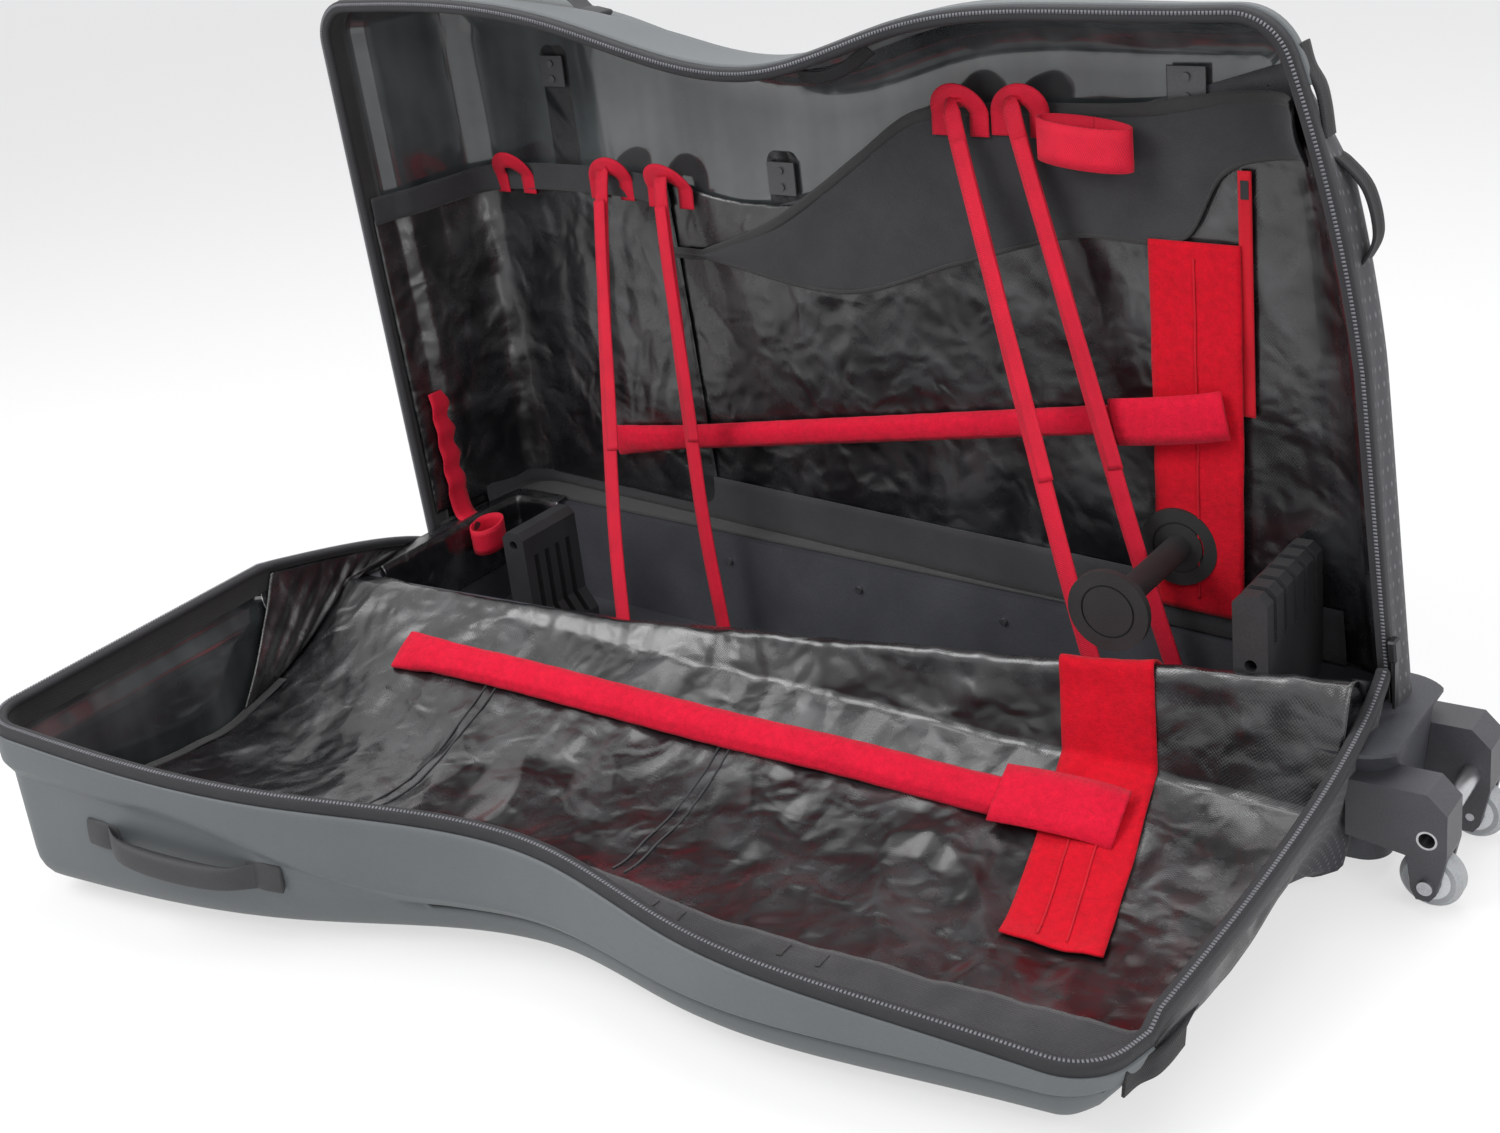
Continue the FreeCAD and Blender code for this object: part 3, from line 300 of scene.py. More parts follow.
def begin(name, **constants):
    """A new material: its shader, Object coordinates and the piece's own cloth coordinates, in metres."""
    material = bpy.data.materials.new(name)
    material.use_nodes = True
    tree = material.node_tree
    shader = tree.nodes["Principled BSDF"]
    for socket, value in constants.items():
        shader.inputs[socket.replace("_", " ")].default_value = value
    coords = tree.nodes.new("ShaderNodeTexCoord")
    return material, shader, Wire(tree, coords.outputs["Object"]), Wire(tree, coords.outputs["UV"])


def drive(shader, **inputs):
    """Link finished sums into the shader."""
    for socket, wire in inputs.items():
        wire.tree.links.new(wire.socket, shader.inputs[socket.replace("_", " ")])


print("mid grey as the shader's numbers", [round(c, 3) for c in ink(128, 128, 128)])

# %% [markdown]
# ## Moulded plastic and rubber
# Injection-moulded parts have a fine spark-eroded grain, slight flow marks and paler rubbed patches. One
# recipe with a colour, a gloss and a grain size serves the base, brackets, posts, rails and grips.

# %% Moulded finishes
def moulded(name, colour, rough, grain, relief=0.25, **constants):
    material, shader, place, _ = begin(name, **constants)
    flow = place.noise(0.09, 4.0)
    speck = place.noise(grain, 2.0)
    paler = tinted(colour, 1.5, 0.012)
    rubbed = (flow * 0.7 + speck * 0.5).step(0.35, 1.0)
    drive(shader, Base_Color=rubbed.blend(colour, paler), Roughness=rough + flow * 0.16 - speck * 0.06,
          Normal=speck.relief(relief, grain * 0.4))
    return material


tub_finish = moulded("tub plastic", ink(52, 53, 58), 0.46, 0.0022)
bracket_finish = moulded("bracket plastic", ink(56, 56, 60), 0.42, 0.0018)
post_finish = moulded("post plastic", ink(34, 34, 36), 0.45, 0.002)
skid_finish = moulded("skid plastic", ink(40, 40, 42), 0.5, 0.003)
plate_finish = moulded("plate plastic", ink(62, 62, 64), 0.36, 0.002)
disc_finish = moulded("disc plastic", ink(26, 26, 27), 0.52, 0.0016, 0.5)
grip_finish = moulded("grip rubber", ink(44, 44, 46), 0.62, 0.0012, 0.35)
foot_finish = moulded("foot rubber", ink(24, 24, 25), 0.72, 0.0016, 0.4)
tyre_finish = moulded("tyre rubber", ink(150, 152, 155), 0.42, 0.002, 0.2, Subsurface_Weight=0.12)
hub_finish = moulded("hub plastic", ink(206, 208, 210), 0.38, 0.002, 0.15)
tooth_finish = moulded("zip coil", ink(96, 97, 101), 0.4, 0.001, 0.2)
slider_finish = moulded("slider metal", ink(38, 38, 40), 0.34, 0.001, 0.2, Metallic=0.6)
print("moulded finishes made, materials so far", len(bpy.data.materials))

# %% [markdown]
# ## Metal
# The pulling bar and the rail are drawn aluminium with fine lines along their length; the bolts and
# bearings are turned steel. Stretched noise gives both their lines.

# %% Metal finishes
def drawn_metal(name, colour, rough, along):
    material, shader, place, _ = begin(name, Metallic=1.0)
    lines = place.node("Mapping", None, {"Vector": place, "Scale": along}).noise(0.004, 3.0)
    stain = place.noise(0.03, 3.0)
    dull = tinted(colour, 0.72)
    drive(shader, Base_Color=(lines * 0.6 + stain * 0.4).step(0.3, 0.75).blend(dull, colour),
          Roughness=rough + lines * 0.12 + stain * 0.06, Normal=lines.relief(0.12, 0.0004))
    return material


bar_finish = drawn_metal("bar aluminium", ink(206, 207, 210), 0.24, (1.0, 0.06, 1.0))
rail_finish = drawn_metal("rail aluminium", ink(70, 70, 73), 0.36, (0.06, 1.0, 1.0))
steel_finish = drawn_metal("turned steel", ink(186, 186, 190), 0.26, (1.0, 1.0, 1.0))
print("metal finishes made, materials so far", len(bpy.data.materials))

# %% [markdown]
# ## The hard shell
# The shell is one vacuum-formed sheet: satin mid-grey outside, and smooth, darker and shiny inside. Which
# side a point is on shows from its normal: inside, it points towards the middle of the case.

# %% Shell finish
def outside_of(place, middle):
    """1 where the surface faces away from the middle of the case, 0 where it faces in."""
    world = place.node("NewGeometry", None, None, "Normal")
    into_object = {"vector_type": "NORMAL", "convert_from": "WORLD", "convert_to": "OBJECT"}
    facing = place.node("VectorTransform", into_object, {0: world})
    outward = place.node("VectorMath", {"operation": "SUBTRACT"}, {0: place, 1: middle})
    product = place.node("VectorMath", {"operation": "DOT_PRODUCT"}, {0: facing, 1: outward}, "Value")
    return product.step(-0.01, 0.01)


def shell_finish(name, middle):
    material, shader, place, _ = begin(name, Coat_Roughness=0.05)
    outside = outside_of(place, middle)
    cloud, grain, scuff = place.noise(0.16, 4.0), place.noise(0.0016, 2.0), place.noise(0.012, 5.0, 0.7)
    drawn = place.node("Mapping", None, {"Vector": place, "Scale": (1.0, 1.0, 0.16)}).noise(0.07, 2.0)
    marked = scuff.step(0.62, 0.74) * cloud.step(0.5, 0.62)
    outer = (cloud * 0.6 + grain * 0.4 + marked * 0.3).blend(ink(72, 76, 78), ink(100, 104, 106))
    inner = (cloud * 0.5 + drawn * 0.5).step(0.35, 0.65).blend(ink(46, 49, 51), ink(82, 86, 87))
    inside = 1 - outside
    drive(shader, Base_Color=outside.blend(inner, outer),
          Roughness=0.12 + outside * 0.36 + cloud * 0.08 + marked * 0.1, Coat_Weight=inside,
          Normal=(grain * outside * 0.06 + drawn * inside * 1.2 + cloud * 0.2).relief(0.5, 0.008))
    return material


REAR_MIDDLE, LID_MIDDLE = (0.0, 0.03, 0.5), (0.0, -0.32, 0.12)
rear_shell_finish = shell_finish("rear hard shell", REAR_MIDDLE)
lid_shell_finish = shell_finish("lid hard shell", LID_MIDDLE)
print("shell finishes made, materials so far", len(bpy.data.materials))

# %% [markdown]
# ## Cloth
# Five cloths: the shiny coated lining that creases like a tarpaulin, a matte pocket cloth, the heavy wall
# fabric with small pale dots, woven webbing and brushed loop fabric. Threads, dots and ribs follow the piece's
# own UV map, which is in metres, so a weave keeps its size on every piece.

# %% Cloth finishes
TURN = 2 * math.pi


def weave(cloth, pitch):
    """Height of a plain weave with threads `pitch` metres apart."""
    across, along = (cloth.part(axis) * (TURN / pitch) for axis in (0, 1))
    return across.maths("SINE") * along.maths("SINE")


def lining_finish(name, colour, sheen):
    """Coated cloth: long soft folds, sharp creases between them and a fine grid of threads, with a painted
    highlight on the fold tops.
    """
    material, shader, place, cloth = begin(name, Coat_Roughness=0.14, Specular_IOR_Level=0.65)
    wobble = place.node("TexNoise", None, {"Vector": place, "Scale": 9.0, "Detail": 2.0}, "Color")
    warped = place.node("VectorMath", {"operation": "MULTIPLY_ADD"}, {0: wobble, 1: (0.09,) * 3, 2: place})
    folds, creases, crinkle = warped.noise(0.07, 2.0), warped.ridges(0.085), warped.ridges(0.026, 1.5)
    fine, threads = place.noise(0.006, 3.0), weave(cloth, 0.0035)
    # Painted highlight: the colour turns much lighter on the tops of the long folds, where the lamps would
    # reflect.
    painted_fold_highlight = folds.step(0.4, 0.75)
    lighter = tinted(colour, 2.4, 0.014)
    height = folds * 1.7 + creases * 0.95 + crinkle * 0.34 + fine * 0.06 + threads * 0.012
    drive(shader, Base_Color=painted_fold_highlight.blend(colour, lighter), Roughness=sheen + fine * 0.1 + painted_fold_highlight * 0.06,
          Coat_Weight=0.35 + folds * 0.4, Normal=height.relief(0.75, 0.009))
    return material


def matte_cloth(name, colour, pitch, rough=0.82):
    material, shader, place, cloth = begin(name, Sheen_Weight=0.15, Sheen_Roughness=0.5)
    soft, fuzz, threads = place.noise(0.06, 4.0), place.noise(0.002, 2.0), weave(cloth, pitch)
    lighter = tinted(colour, 1.7, 0.01)
    drive(shader, Base_Color=(soft * 0.6 + fuzz * 0.4).step(0.25, 0.8).blend(colour, lighter),
          Roughness=rough + fuzz * 0.12, Normal=(threads * 0.5 + fuzz + soft * 2.0).relief(0.4, 0.0012))
    return material


def dotted_cloth(name, colour, dot, pitch, middle=None):
    """Heavy woven fabric with staggered pale dots; with a middle, only on its outside."""
    material, shader, place, cloth = begin(name, Sheen_Weight=0.1)
    x, y = cloth.part(0) * (1 / pitch), cloth.part(1) * (1 / pitch)
    row = (y.maths("FLOOR") * 0.5).maths("FRACT")
    dx, dy = (x + row).maths("FRACT") - 0.5, y.maths("FRACT") - 0.5
    spot = 1 - (dx * dx + dy * dy).step(0.012, 0.04)
    if middle:
        spot = spot * outside_of(place, middle)
    soft, threads = place.noise(0.05, 4.0), weave(cloth, 0.003)
    ground = soft.blend(colour, tinted(colour, 1.6, 0.008))
    drive(shader, Base_Color=(spot * (0.1 + soft * 0.5)).blend(ground, dot), Roughness=0.66 + soft * 0.15,
          Normal=(threads * 0.4 + soft * 2.0 + spot * 0.4).relief(0.35, 0.0015))
    return material


def webbing_finish(name, colour, rib=0.0024):
    """Woven tape: ribs across its length, with a herringbone lean."""
    material, shader, place, cloth = begin(name, Sheen_Weight=0.05, Specular_IOR_Level=0.3)
    slant = cloth.part(0) + (cloth.part(1) - 0.01).maths("ABSOLUTE") * 0.6
    ribs = (slant * (TURN / rib)).maths("SINE")
    soil, fuzz = place.noise(0.04, 4.0), place.noise(0.0015, 2.0)
    darker = tinted(colour, 0.5)
    # Darker in soiled patches, which is dirt, and a little darker in the rib troughs, which is painted shade.
    soil_and_rib_shade = (soil * 0.5 + fuzz * 0.3 + ribs * 0.12 + 0.15).step(0.1, 0.9)
    drive(shader, Base_Color=soil_and_rib_shade.blend(darker, colour),
          Roughness=0.6 + fuzz * 0.2, Normal=(ribs * 0.6 + fuzz).relief(0.4, 0.0009))
    return material


def loop_pile(name, colour):
    """Brushed loop fabric: a short nap that hook tape grips."""
    material, shader, place, _ = begin(name, Sheen_Weight=0.06, Specular_IOR_Level=0.2)
    nap, swirl, soft = place.noise(0.0016, 3.0), place.noise(0.008, 4.0), place.noise(0.08, 3.0)
    darker = tinted(colour, 0.55)
    drive(shader, Base_Color=(nap * 0.4 + swirl * 0.4 + soft * 0.2).step(0.2, 0.75).blend(darker, colour),
          Roughness=0.8 + nap * 0.15, Normal=(nap + swirl * 1.5).relief(0.5, 0.0014))
    return material


RED, DEEP_RED = ink(226, 18, 54), ink(214, 4, 34)
lining = lining_finish("shiny lining", ink(17, 18, 20), 0.2)
pocket_cloth = matte_cloth("pocket cloth", ink(34, 34, 37), 0.003)
kick_cloth = matte_cloth("binding tape", ink(26, 26, 27), 0.002, 0.7)
wall_cloth = dotted_cloth("rear wall fabric", ink(46, 46, 50), ink(140, 140, 143), 0.012, REAR_MIDDLE)
lid_wall_cloth = dotted_cloth("lid wall fabric", ink(46, 46, 50), ink(140, 140, 143), 0.012)
black_web = webbing_finish("black webbing", ink(36, 36, 38))
red_web = webbing_finish("red webbing", RED)
red_loop = loop_pile("red loop cloth", DEEP_RED)
red_pad = loop_pile("red padding", RED)
zip_cloth = webbing_finish("zip tape", ink(50, 50, 53), 0.0016)
red_zip = webbing_finish("red zip tape", DEEP_RED, 0.0016)
print("cloth finishes made, materials so far", len(bpy.data.materials))

# %% [markdown]
# ## Dress the rigid frame
# The CAD solids of the base, wheels, posts and rails already have the right shape. They keep it and only
# get their finishes, by the material slot that the record names.

# %% Finishes on the CAD nodes
FINISH_OF = {
    "tub_plastic": tub_finish, "foot_rubber": foot_finish, "bracket_plastic": bracket_finish,
    "steel": steel_finish, "bar_aluminium": bar_finish, "rail_aluminium": rail_finish,
    "post_plastic": post_finish, "hard_shell": rear_shell_finish, "wall_fabric": wall_cloth,
    "zip_tape": zip_cloth, "liner_cloth": lining, "pocket_cloth": pocket_cloth,
    "plate_plastic": plate_finish, "handle_rubber": grip_finish, "black_webbing": black_web,
    "red_loop_cloth": red_loop, "red_padding": red_pad, "red_zip": red_zip,
    "zip_slider": slider_finish, "red_webbing": red_web, "disc_plastic": disc_finish,
    "skid_plastic": skid_finish, "wheel_tyre": tyre_finish, "wheel_hub": hub_finish,
}
slot_of = {part["node"]: part["material_slot"] for part in frame["record"]["subparts"]}
for name, node in frame["nodes"].items():
    node.data.materials.clear()
    node.data.materials.append(FINISH_OF[slot_of[name]])
frame["nodes"]["lid_shell"].data.materials[0] = lid_shell_finish
print("dressed", len(frame["nodes"]), "CAD nodes")

# %% [markdown]
# ## Cloth from a grid
# Every sheet starts as a flat grid, as woven cloth is, and each crossing is then moved to its place on the
# case. The grid keeps UV coordinates in metres for the weave, and a Solidify modifier gives the cloth its
# thickness.

# %% Grid, finish and thickness helpers
def cloth_grid(name, columns, rows, place, cut):
    """A sheet of `cut` metres; place(u, v) gives each crossing in millimetres."""
    bm = bmesh.new()
    threads = bm.loops.layers.uv.new("cloth")
    bmesh.ops.create_grid(bm, x_segments=columns, y_segments=rows, size=1.0, calc_uvs=True)
    for crossing in bm.verts:
        crossing.co = place((crossing.co.x + 1) / 2, (crossing.co.y + 1) / 2) * MM
    for face in bm.faces:
        for loop in face.loops:
            u, v = loop[threads].uv
            loop[threads].uv = (u * cut[0], v * cut[1])
    return finished(name, bm)


def finished(name, bm):
    """Turn a bmesh into an object with smooth faces."""
    mesh = bpy.data.meshes.new(name)
    for face in bm.faces:
        face.smooth = True
    bm.to_mesh(mesh)
    bm.free()
    piece = bpy.data.objects.new(name, mesh)
    bpy.context.collection.objects.link(piece)
    return piece


def thicken(piece, thickness, side=0.0):
    """Give a sheet its thickness: about the sheet, or all to one side of it with 1 or -1."""
    solid = piece.modifiers.new("thickness", "SOLIDIFY")
    solid.thickness, solid.offset = thickness * MM, side
    return piece


def dress(piece, finish, slot, body, *stands_for):
    """Give a piece its finish, its body and the CAD nodes that it stands for; `slot` is not used."""
    piece.data.materials.append(finish)
    if body:
        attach(piece, body)
    if stands_for:
        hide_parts(*stands_for)
    return piece


def area_of(piece):
    return sum(face.area for face in piece.data.polygons)


def as_sheet(piece):
    """Return the piece unchanged."""
    return piece


print("cloth helpers ready")

# %% [markdown]
# ## Hard shells
# The hard upper part of each half is vacuum-formed from one sheet: a band along the rim, a small step, a
# drafted wall and a round edge into the flat back. Its outline goes up the left end, round a corner, along the
# waved top, round the other corner and down the wheel end, and can be drawn in by any amount.

# %% Outline with its corners
HARD_LEFT, HARD_RIGHT = 430, 760
SIDE_STEPS, CORNER_STEPS, TOP_STEPS = 16, 10, 90


def hard_line(x):
    """Height where the hard shell ends and the fabric begins."""
    return between(HARD_LEFT, HARD_RIGHT, x)


def corner(centre, radius, start, end):
    for step in range(1, CORNER_STEPS):
        angle = start + (end - start) * step / CORNER_STEPS
        yield centre[0] + radius * math.cos(angle), centre[1] + radius * math.sin(angle)


def outline(inset):
    """The hard part of the rim outline, drawn in by `inset`, from the left round to the wheel end."""
    left_radius, right_radius = max(LEFT_CORNER - inset, TIGHT), max(RIGHT_CORNER - inset, TIGHT)
    left = (left_edge(LEFT_TOP - LEFT_CORNER) + inset + left_radius, LEFT_TOP - inset - left_radius)
    pulled = max(inset - (RIGHT_CORNER - TIGHT), 0)
    right = (right_centre[0] - pulled, right_centre[1] - pulled)
    foot = hard_line(RIM_LEFT + inset)
    points = []
    for step in range(SIDE_STEPS + 1):
        z = foot + (left[1] - foot) * step / SIDE_STEPS
        points.append((left_edge(z) + inset, z))
    points.extend(corner(left, left_radius, math.pi, math.pi / 2))
    for step in range(TOP_STEPS + 1):
        x = left[0] + (right[0] - left[0]) * step / TOP_STEPS
        points.append((x, top_edge(x) - inset))
    points.extend(corner(right, right_radius, math.pi / 2, RIGHT_LEAN))
    high = right[1] + right_radius * math.sin(RIGHT_LEAN)
    for step in range(SIDE_STEPS + 1):
        z = high + (hard_line(right_edge(high) - inset) - high) * step / SIDE_STEPS
        points.append((right_edge(z) - inset, z))
    return points


print("outline points", len(outline(0)))

# %% [markdown]
# ### From the outline to the shell
# A grid follows the outline one way and the rings the other way, with close support rows so that the edges
# shade as mouldings do, and then a few rows go down the flat back. On the real case the step under the rim
# runs further back on its way to the wheel end, so the rows slide there. Solidify makes the sheet a wall.

# %% Shell of one half
SUPPORT, SUPPORT_ROWS = (0.12, 0.88), 10
FLAT_ROWS, WALL, SHELL_CUT = 8, 4, (2.4, 0.4)
RELIEF_SLIDE, RELIEF_START, RELIEF_LENGTH = 0.36, -470, 300


def ease(share):
    """A share from 0 to 1 that starts and ends gently."""
    share = min(max(share, 0), 1)
    return share * share * (3 - 2 * share)


def relief(point):
    """Let the step under the rim run further back on its way to the wheel end."""
    deep = depth(point.x)
    share, near, far = point.y / deep, RIM_FRONT / deep, 1 - EDGE_ROUND / deep
    if not near < share < far:
        return point
    slide = RELIEF_SLIDE * ease((point.x - RELIEF_START) / RELIEF_LENGTH)
    stops = [(near, near), (BAND_SHARE, min(BAND_SHARE + slide, far - 0.1)),
             (STEP_SHARE, min(STEP_SHARE + slide, far - 0.02)), (far, far)]
    for (a, new_a), (b, new_b) in zip(stops, stops[1:]):
        if share <= b:
            share = new_a + (new_b - new_a) * (share - a) / max(b - a, 1e-6)
            break
    return Vector((point.x, share * deep, point.z))


def supported(rings):
    """The rings with a support row near each end of the first long runs."""
    rows = []
    for first, second in zip(rings, rings[1:]):
        rows.append(first)
        if len(rows) < SUPPORT_ROWS:
            rows += [tuple(a + (b - a) * share for a, b in zip(first, second)) for share in SUPPORT]
    return rows + rings[-1:]


def shell_rows(skin):
    """Rows of points from the rim to the back wall, then down the flat back to the fabric."""
    rows = []
    for inset, share, offset in supported(wall_rings(skin)):
        rows.append([relief(Vector((x, share * depth(x) + offset, z))) for x, z in outline(inset)])
    edge = rows[-1]
    for step in range(1, FLAT_ROWS + 1):
        row = []
        for number, point in enumerate(edge):
            x = edge[0].x + (edge[-1].x - edge[0].x) * number / (len(edge) - 1)
            goal = Vector((x, depth(x) - skin, hard_line(x)))
            row.append(point.lerp(goal, step / FLAT_ROWS))
        rows.append(row)
    return rows


def hard_shell(name, put, finish, body, node):
    rows = shell_rows(0)
    last_row, last_column = len(rows) - 1, len(rows[0]) - 1

    def place(u, v):
        return put(rows[round(v * last_row)][round(u * last_column)])

    piece = cloth_grid(name, last_column, last_row, place, SHELL_CUT)
    thicken(piece, WALL, -1.0 if put is in_lid else 1.0)
    return dress(piece, finish, "hard_shell", body, node)


shells = [hard_shell("rear_moulded_shell", upright, rear_shell_finish, "rear_half", "rear_shell"),
          hard_shell("lid_moulded_shell", in_lid, lid_shell_finish, "lid", "lid_shell")]
print("hard shells, m2", [round(area_of(shell), 3) for shell in shells])

# %% [markdown]
# ## Fabric lower walls
# Below the hard line each half is heavy fabric. A level cut through the wall is a U from rim to rim, so a
# sheet there is a grid of such cuts: a point is given by its height and its share of the way round. Noise with
# rounded hollows gives the soft folds.

# %% A point on the wall by height and share of the way round
def on_wall(z, skin, share):
    """A point at height z, `skin` in from the wall's outer face."""
    points = section(z, skin)
    runs = runs_of(points)
    goal = sum(runs) * share
    for a, b, run in zip(points, points[1:], runs):
        if goal <= run:
            return a.lerp(b, goal / run)
        goal -= run
    return points[-1]


def billow(point, size, height):
    """Soft folds: noise with rounded hollows and sharper ridges, in millimetres."""
    seed = point / size
    return height * (1 - 2 * abs(noise.noise(seed)) + 0.5 * noise.noise(seed * 2.3))


print("half way round at z 400", [round(c) for c in on_wall(400, 0, 0.5)])

# %% [markdown]
# ### The rear wall
# This fabric is stretched from the hard shell down to the base, round the back. Its wheel end is padded and
# stands fuller than the wedge, so the points there are pushed out.

# %% Rear fabric wall
WALL_COLUMNS, WALL_ROWS = 200, 50
WALL_CUT, CLOTH_WALL, UNDER_SHELL = (1.62, 0.45), 3, 3
SIDE_PAD, END_FULL, WALL_FOLD = 9, 0.72, (120, 2.5)


def rear_wall_place(u, v):
    x = on_wall(HARD_LEFT, 0, u).x
    z = RIM_LOW + (hard_line(x) + UNDER_SHELL - RIM_LOW) * v
    spot = on_wall(z, 0, u)
    loose = math.sin(math.pi * v) * min(u, 1 - u, 0.1) * 10
    middle = Vector((0, 0, z))
    spot += (spot - middle).normalized() * (billow(spot, *WALL_FOLD) * loose)
    inset, full = right_edge(z) - spot.x, min(1, 6 * (1 - v))
    if u > 0.5 and inset < SIDE_DRAFT + EDGE_ROUND:
        back = (spot.y - RIM_FRONT) / (depth(spot.x) - RIM_FRONT)
        spot.x += full * (inset * END_FULL + SIDE_PAD * math.sin(math.pi * min(max(back, 0), 1)))
    return spot


rear_wall = cloth_grid("rear_fabric_wall", WALL_COLUMNS, WALL_ROWS, rear_wall_place, WALL_CUT)
dress(thicken(rear_wall, CLOTH_WALL, 1.0), wall_cloth, "wall_fabric", "rear_half", "rear_soft_wall")
as_sheet(rear_wall)
print("rear fabric wall", round(area_of(rear_wall), 3), "m2")

# %% [markdown]
# ### The foot of the rear wall
# At the end away from the wheels the same fabric goes on down round the end of the base. A short sheet does
# that: it starts at the wall's lower edge, leans in to the base and tapers away along the back.

# %% Foot of the rear wall, round the end of the base
FOOT_REACH, FOOT_LOW, FOOT_X, FOOT_HALF = 0.3, 58, -647, 158
TAPER_START, FOOT_CUT, FOOT_FOLD = 0.62, (0.48, 0.095), (70, 0.8)


def foot_place(u, v):
    top = on_wall(RIM_LOW + 3, 0, u * FOOT_REACH)
    taper = ease((u - TAPER_START) / (1 - TAPER_START))
    low = Vector((max(top.x, FOOT_X), min(top.y, FOOT_HALF), FOOT_LOW + (RIM_LOW - 4 - FOOT_LOW) * taper))
    return top.lerp(low, v) + X * (billow(top, *FOOT_FOLD) * math.sin(math.pi * v))


foot_wall = cloth_grid("rear_foot_wall", 60, 14, foot_place, FOOT_CUT)
dress(thicken(foot_wall, CLOTH_WALL, 1.0), wall_cloth, "wall_fabric", "rear_half")
as_sheet(foot_wall)
print("foot of the rear wall", round(area_of(foot_wall), 3), "m2")

# %% [markdown]
# ### The lid's wall
# The lid's fabric has to reach the hinge as well. At the hard shell it lies where the laid-down lid puts it,
# at the hinge it follows the front edge of the base, and in between it goes from one to the other, which
# twists its sides as in the photograph.

# %% Lid fabric wall
HINGE_SECTION = [Vector(p) for p in ((-651, -16, 134), (-646, -96, 78), (-636, -172, 28), (-610, -180, 19),
                                     (0, -138, 17), (575, -98, 16), (598, -92, 28), (608, -50, 110),
                                     (612, -8, 188))]
hinge_section = spread(HINGE_SECTION, WALL_COLUMNS + 1)
LID_LOW_LEFT, LID_LOW_RIGHT, TWIST = 312, 374, 0.85


def lid_low(x):
    """Height, closed, where the lid's fabric turns towards the hinge."""
    return between(LID_LOW_LEFT, LID_LOW_RIGHT, x)


def lid_wall_place(u, v, skin=0.0):
    """v runs from the hinge to the hard shell."""
    x = on_wall(HARD_LEFT, skin, u).x
    z = lid_low(x) + (hard_line(x) + UNDER_SHELL - lid_low(x)) * v
    laid = in_lid(on_wall(z, skin, u))
    at_hinge = hinge_section[round(u * WALL_COLUMNS)]
    return laid.lerp(at_hinge, (1 - v) ** TWIST)


def fold_at_hinge(piece):
    """Bake the sheet's placement into its mesh."""
    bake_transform(piece)


lid_wall = cloth_grid("lid_fabric_wall", WALL_COLUMNS, WALL_ROWS, lid_wall_place, WALL_CUT)
dress(thicken(lid_wall, CLOTH_WALL, -1.0), lid_wall_cloth, "wall_fabric", None,
      "lid_soft_wall", "hinge_gusset")
as_sheet(lid_wall)
fold_at_hinge(lid_wall)
print("lid fabric wall", round(area_of(lid_wall), 3), "m2")

# %% [markdown]
# ## Rear lining
# The lining is a coated cloth, shiny and creased. It hangs from its top edge on the shell down to the base,
# all the way round the inside. Low wide folds are in the mesh; the sharp small creases are in the finish.

# %% Rear lining
LINING_SKIN, LINING_THICK, LINING_FOOT, INSIDE_Y = 5.5, 0.8, 154, -60
LINING_COLUMNS, LINING_ROWS, LINING_CUT = 260, 90, (1.6, 0.48)
LINING_LOOSE, WIDE_FOLD, FINE_FOLD = 2.2, (95, 2.0), (34, 0.8)
lining_top = polyline([(-720, 585), (-540, 592), (-404, 592), (-304, 588), (-200, 572), (-105, 574),
                       (-75, 588), (0, 632), (86, 679), (175, 690), (364, 694), (410, 698), (491, 710),
                       (640, 702)])


def inward(spot):
    """Direction from the wall towards the inside of the case, level."""
    return (Vector((0, INSIDE_Y, spot.z)) - spot).normalized()


def rear_lining_place(u, v):
    x = on_wall(HARD_LEFT, LINING_SKIN, u).x
    z = LINING_FOOT + (lining_top(x) - LINING_FOOT) * v
    spot = on_wall(z, LINING_SKIN, u)
    held = min(1, 6 * v, 8 * (1 - v)) * min(1, 30 * u, 30 * (1 - u))
    upwards = Vector((spot.x, spot.y * 2, spot.z * 0.6))
    fold = LINING_LOOSE + billow(upwards, *WIDE_FOLD) + billow(spot, *FINE_FOLD)
    return spot + inward(spot) * (fold * held)


rear_lining = cloth_grid("rear_lining", LINING_COLUMNS, LINING_ROWS, rear_lining_place, LINING_CUT)
dress(thicken(rear_lining, LINING_THICK), lining, "liner_cloth", "rear_half", "rear_liner")
as_sheet(rear_lining)
print("rear lining", round(area_of(rear_lining), 3), "m2")

# %% [markdown]
# ## Lid lining and the roll over the hinge
# In the lid the lining hangs slack, like a hammock, from the front rim to the hinge, and there it rolls up
# and over into the base. One sheet does all of that. Each column of its grid follows the slack line of the
# CAD liner, made smooth, and then a smooth line over the crest of the roll.

# %% Smooth lines
def flow(points, share):
    """A point on a smooth line through all the given points (a Catmull-Rom spline by length)."""
    runs = runs_of(points)
    goal, index = sum(runs) * min(max(share, 0), 1), 0
    while index < len(runs) - 1 and goal > runs[index]:
        goal -= runs[index]
        index += 1
    t = min(goal / runs[index], 1)
    b, c = points[index], points[index + 1]
    a = points[index - 1] if index else b * 2 - c
    d = points[index + 2] if index + 2 < len(points) else c * 2 - b
    return (b * 2 + (c - a) * t + (a * 2 - b * 5 + c * 4 - d) * t * t
            + (b * 3 - a - c * 3 + d) * t ** 3) * 0.5


SLACK = [((0.36, 318), (0.12, 380)), ((0.66, 430), (0.5, 470)), ((0.78, 560), (0.74, 570)),
         ((0.7, 660), (0.66, 680)), ((0.5, 850), (0.46, 850))]
ROUNDING = 45


def slack_line(x):
    """Height and depth of the slack lining's lines at one place along the case."""
    for (left_share, left_z), (right_share, right_z) in SLACK:
        yield between(left_z, right_z, x), between(left_share * DEPTH_LEFT, right_share * DEPTH_RIGHT, x)


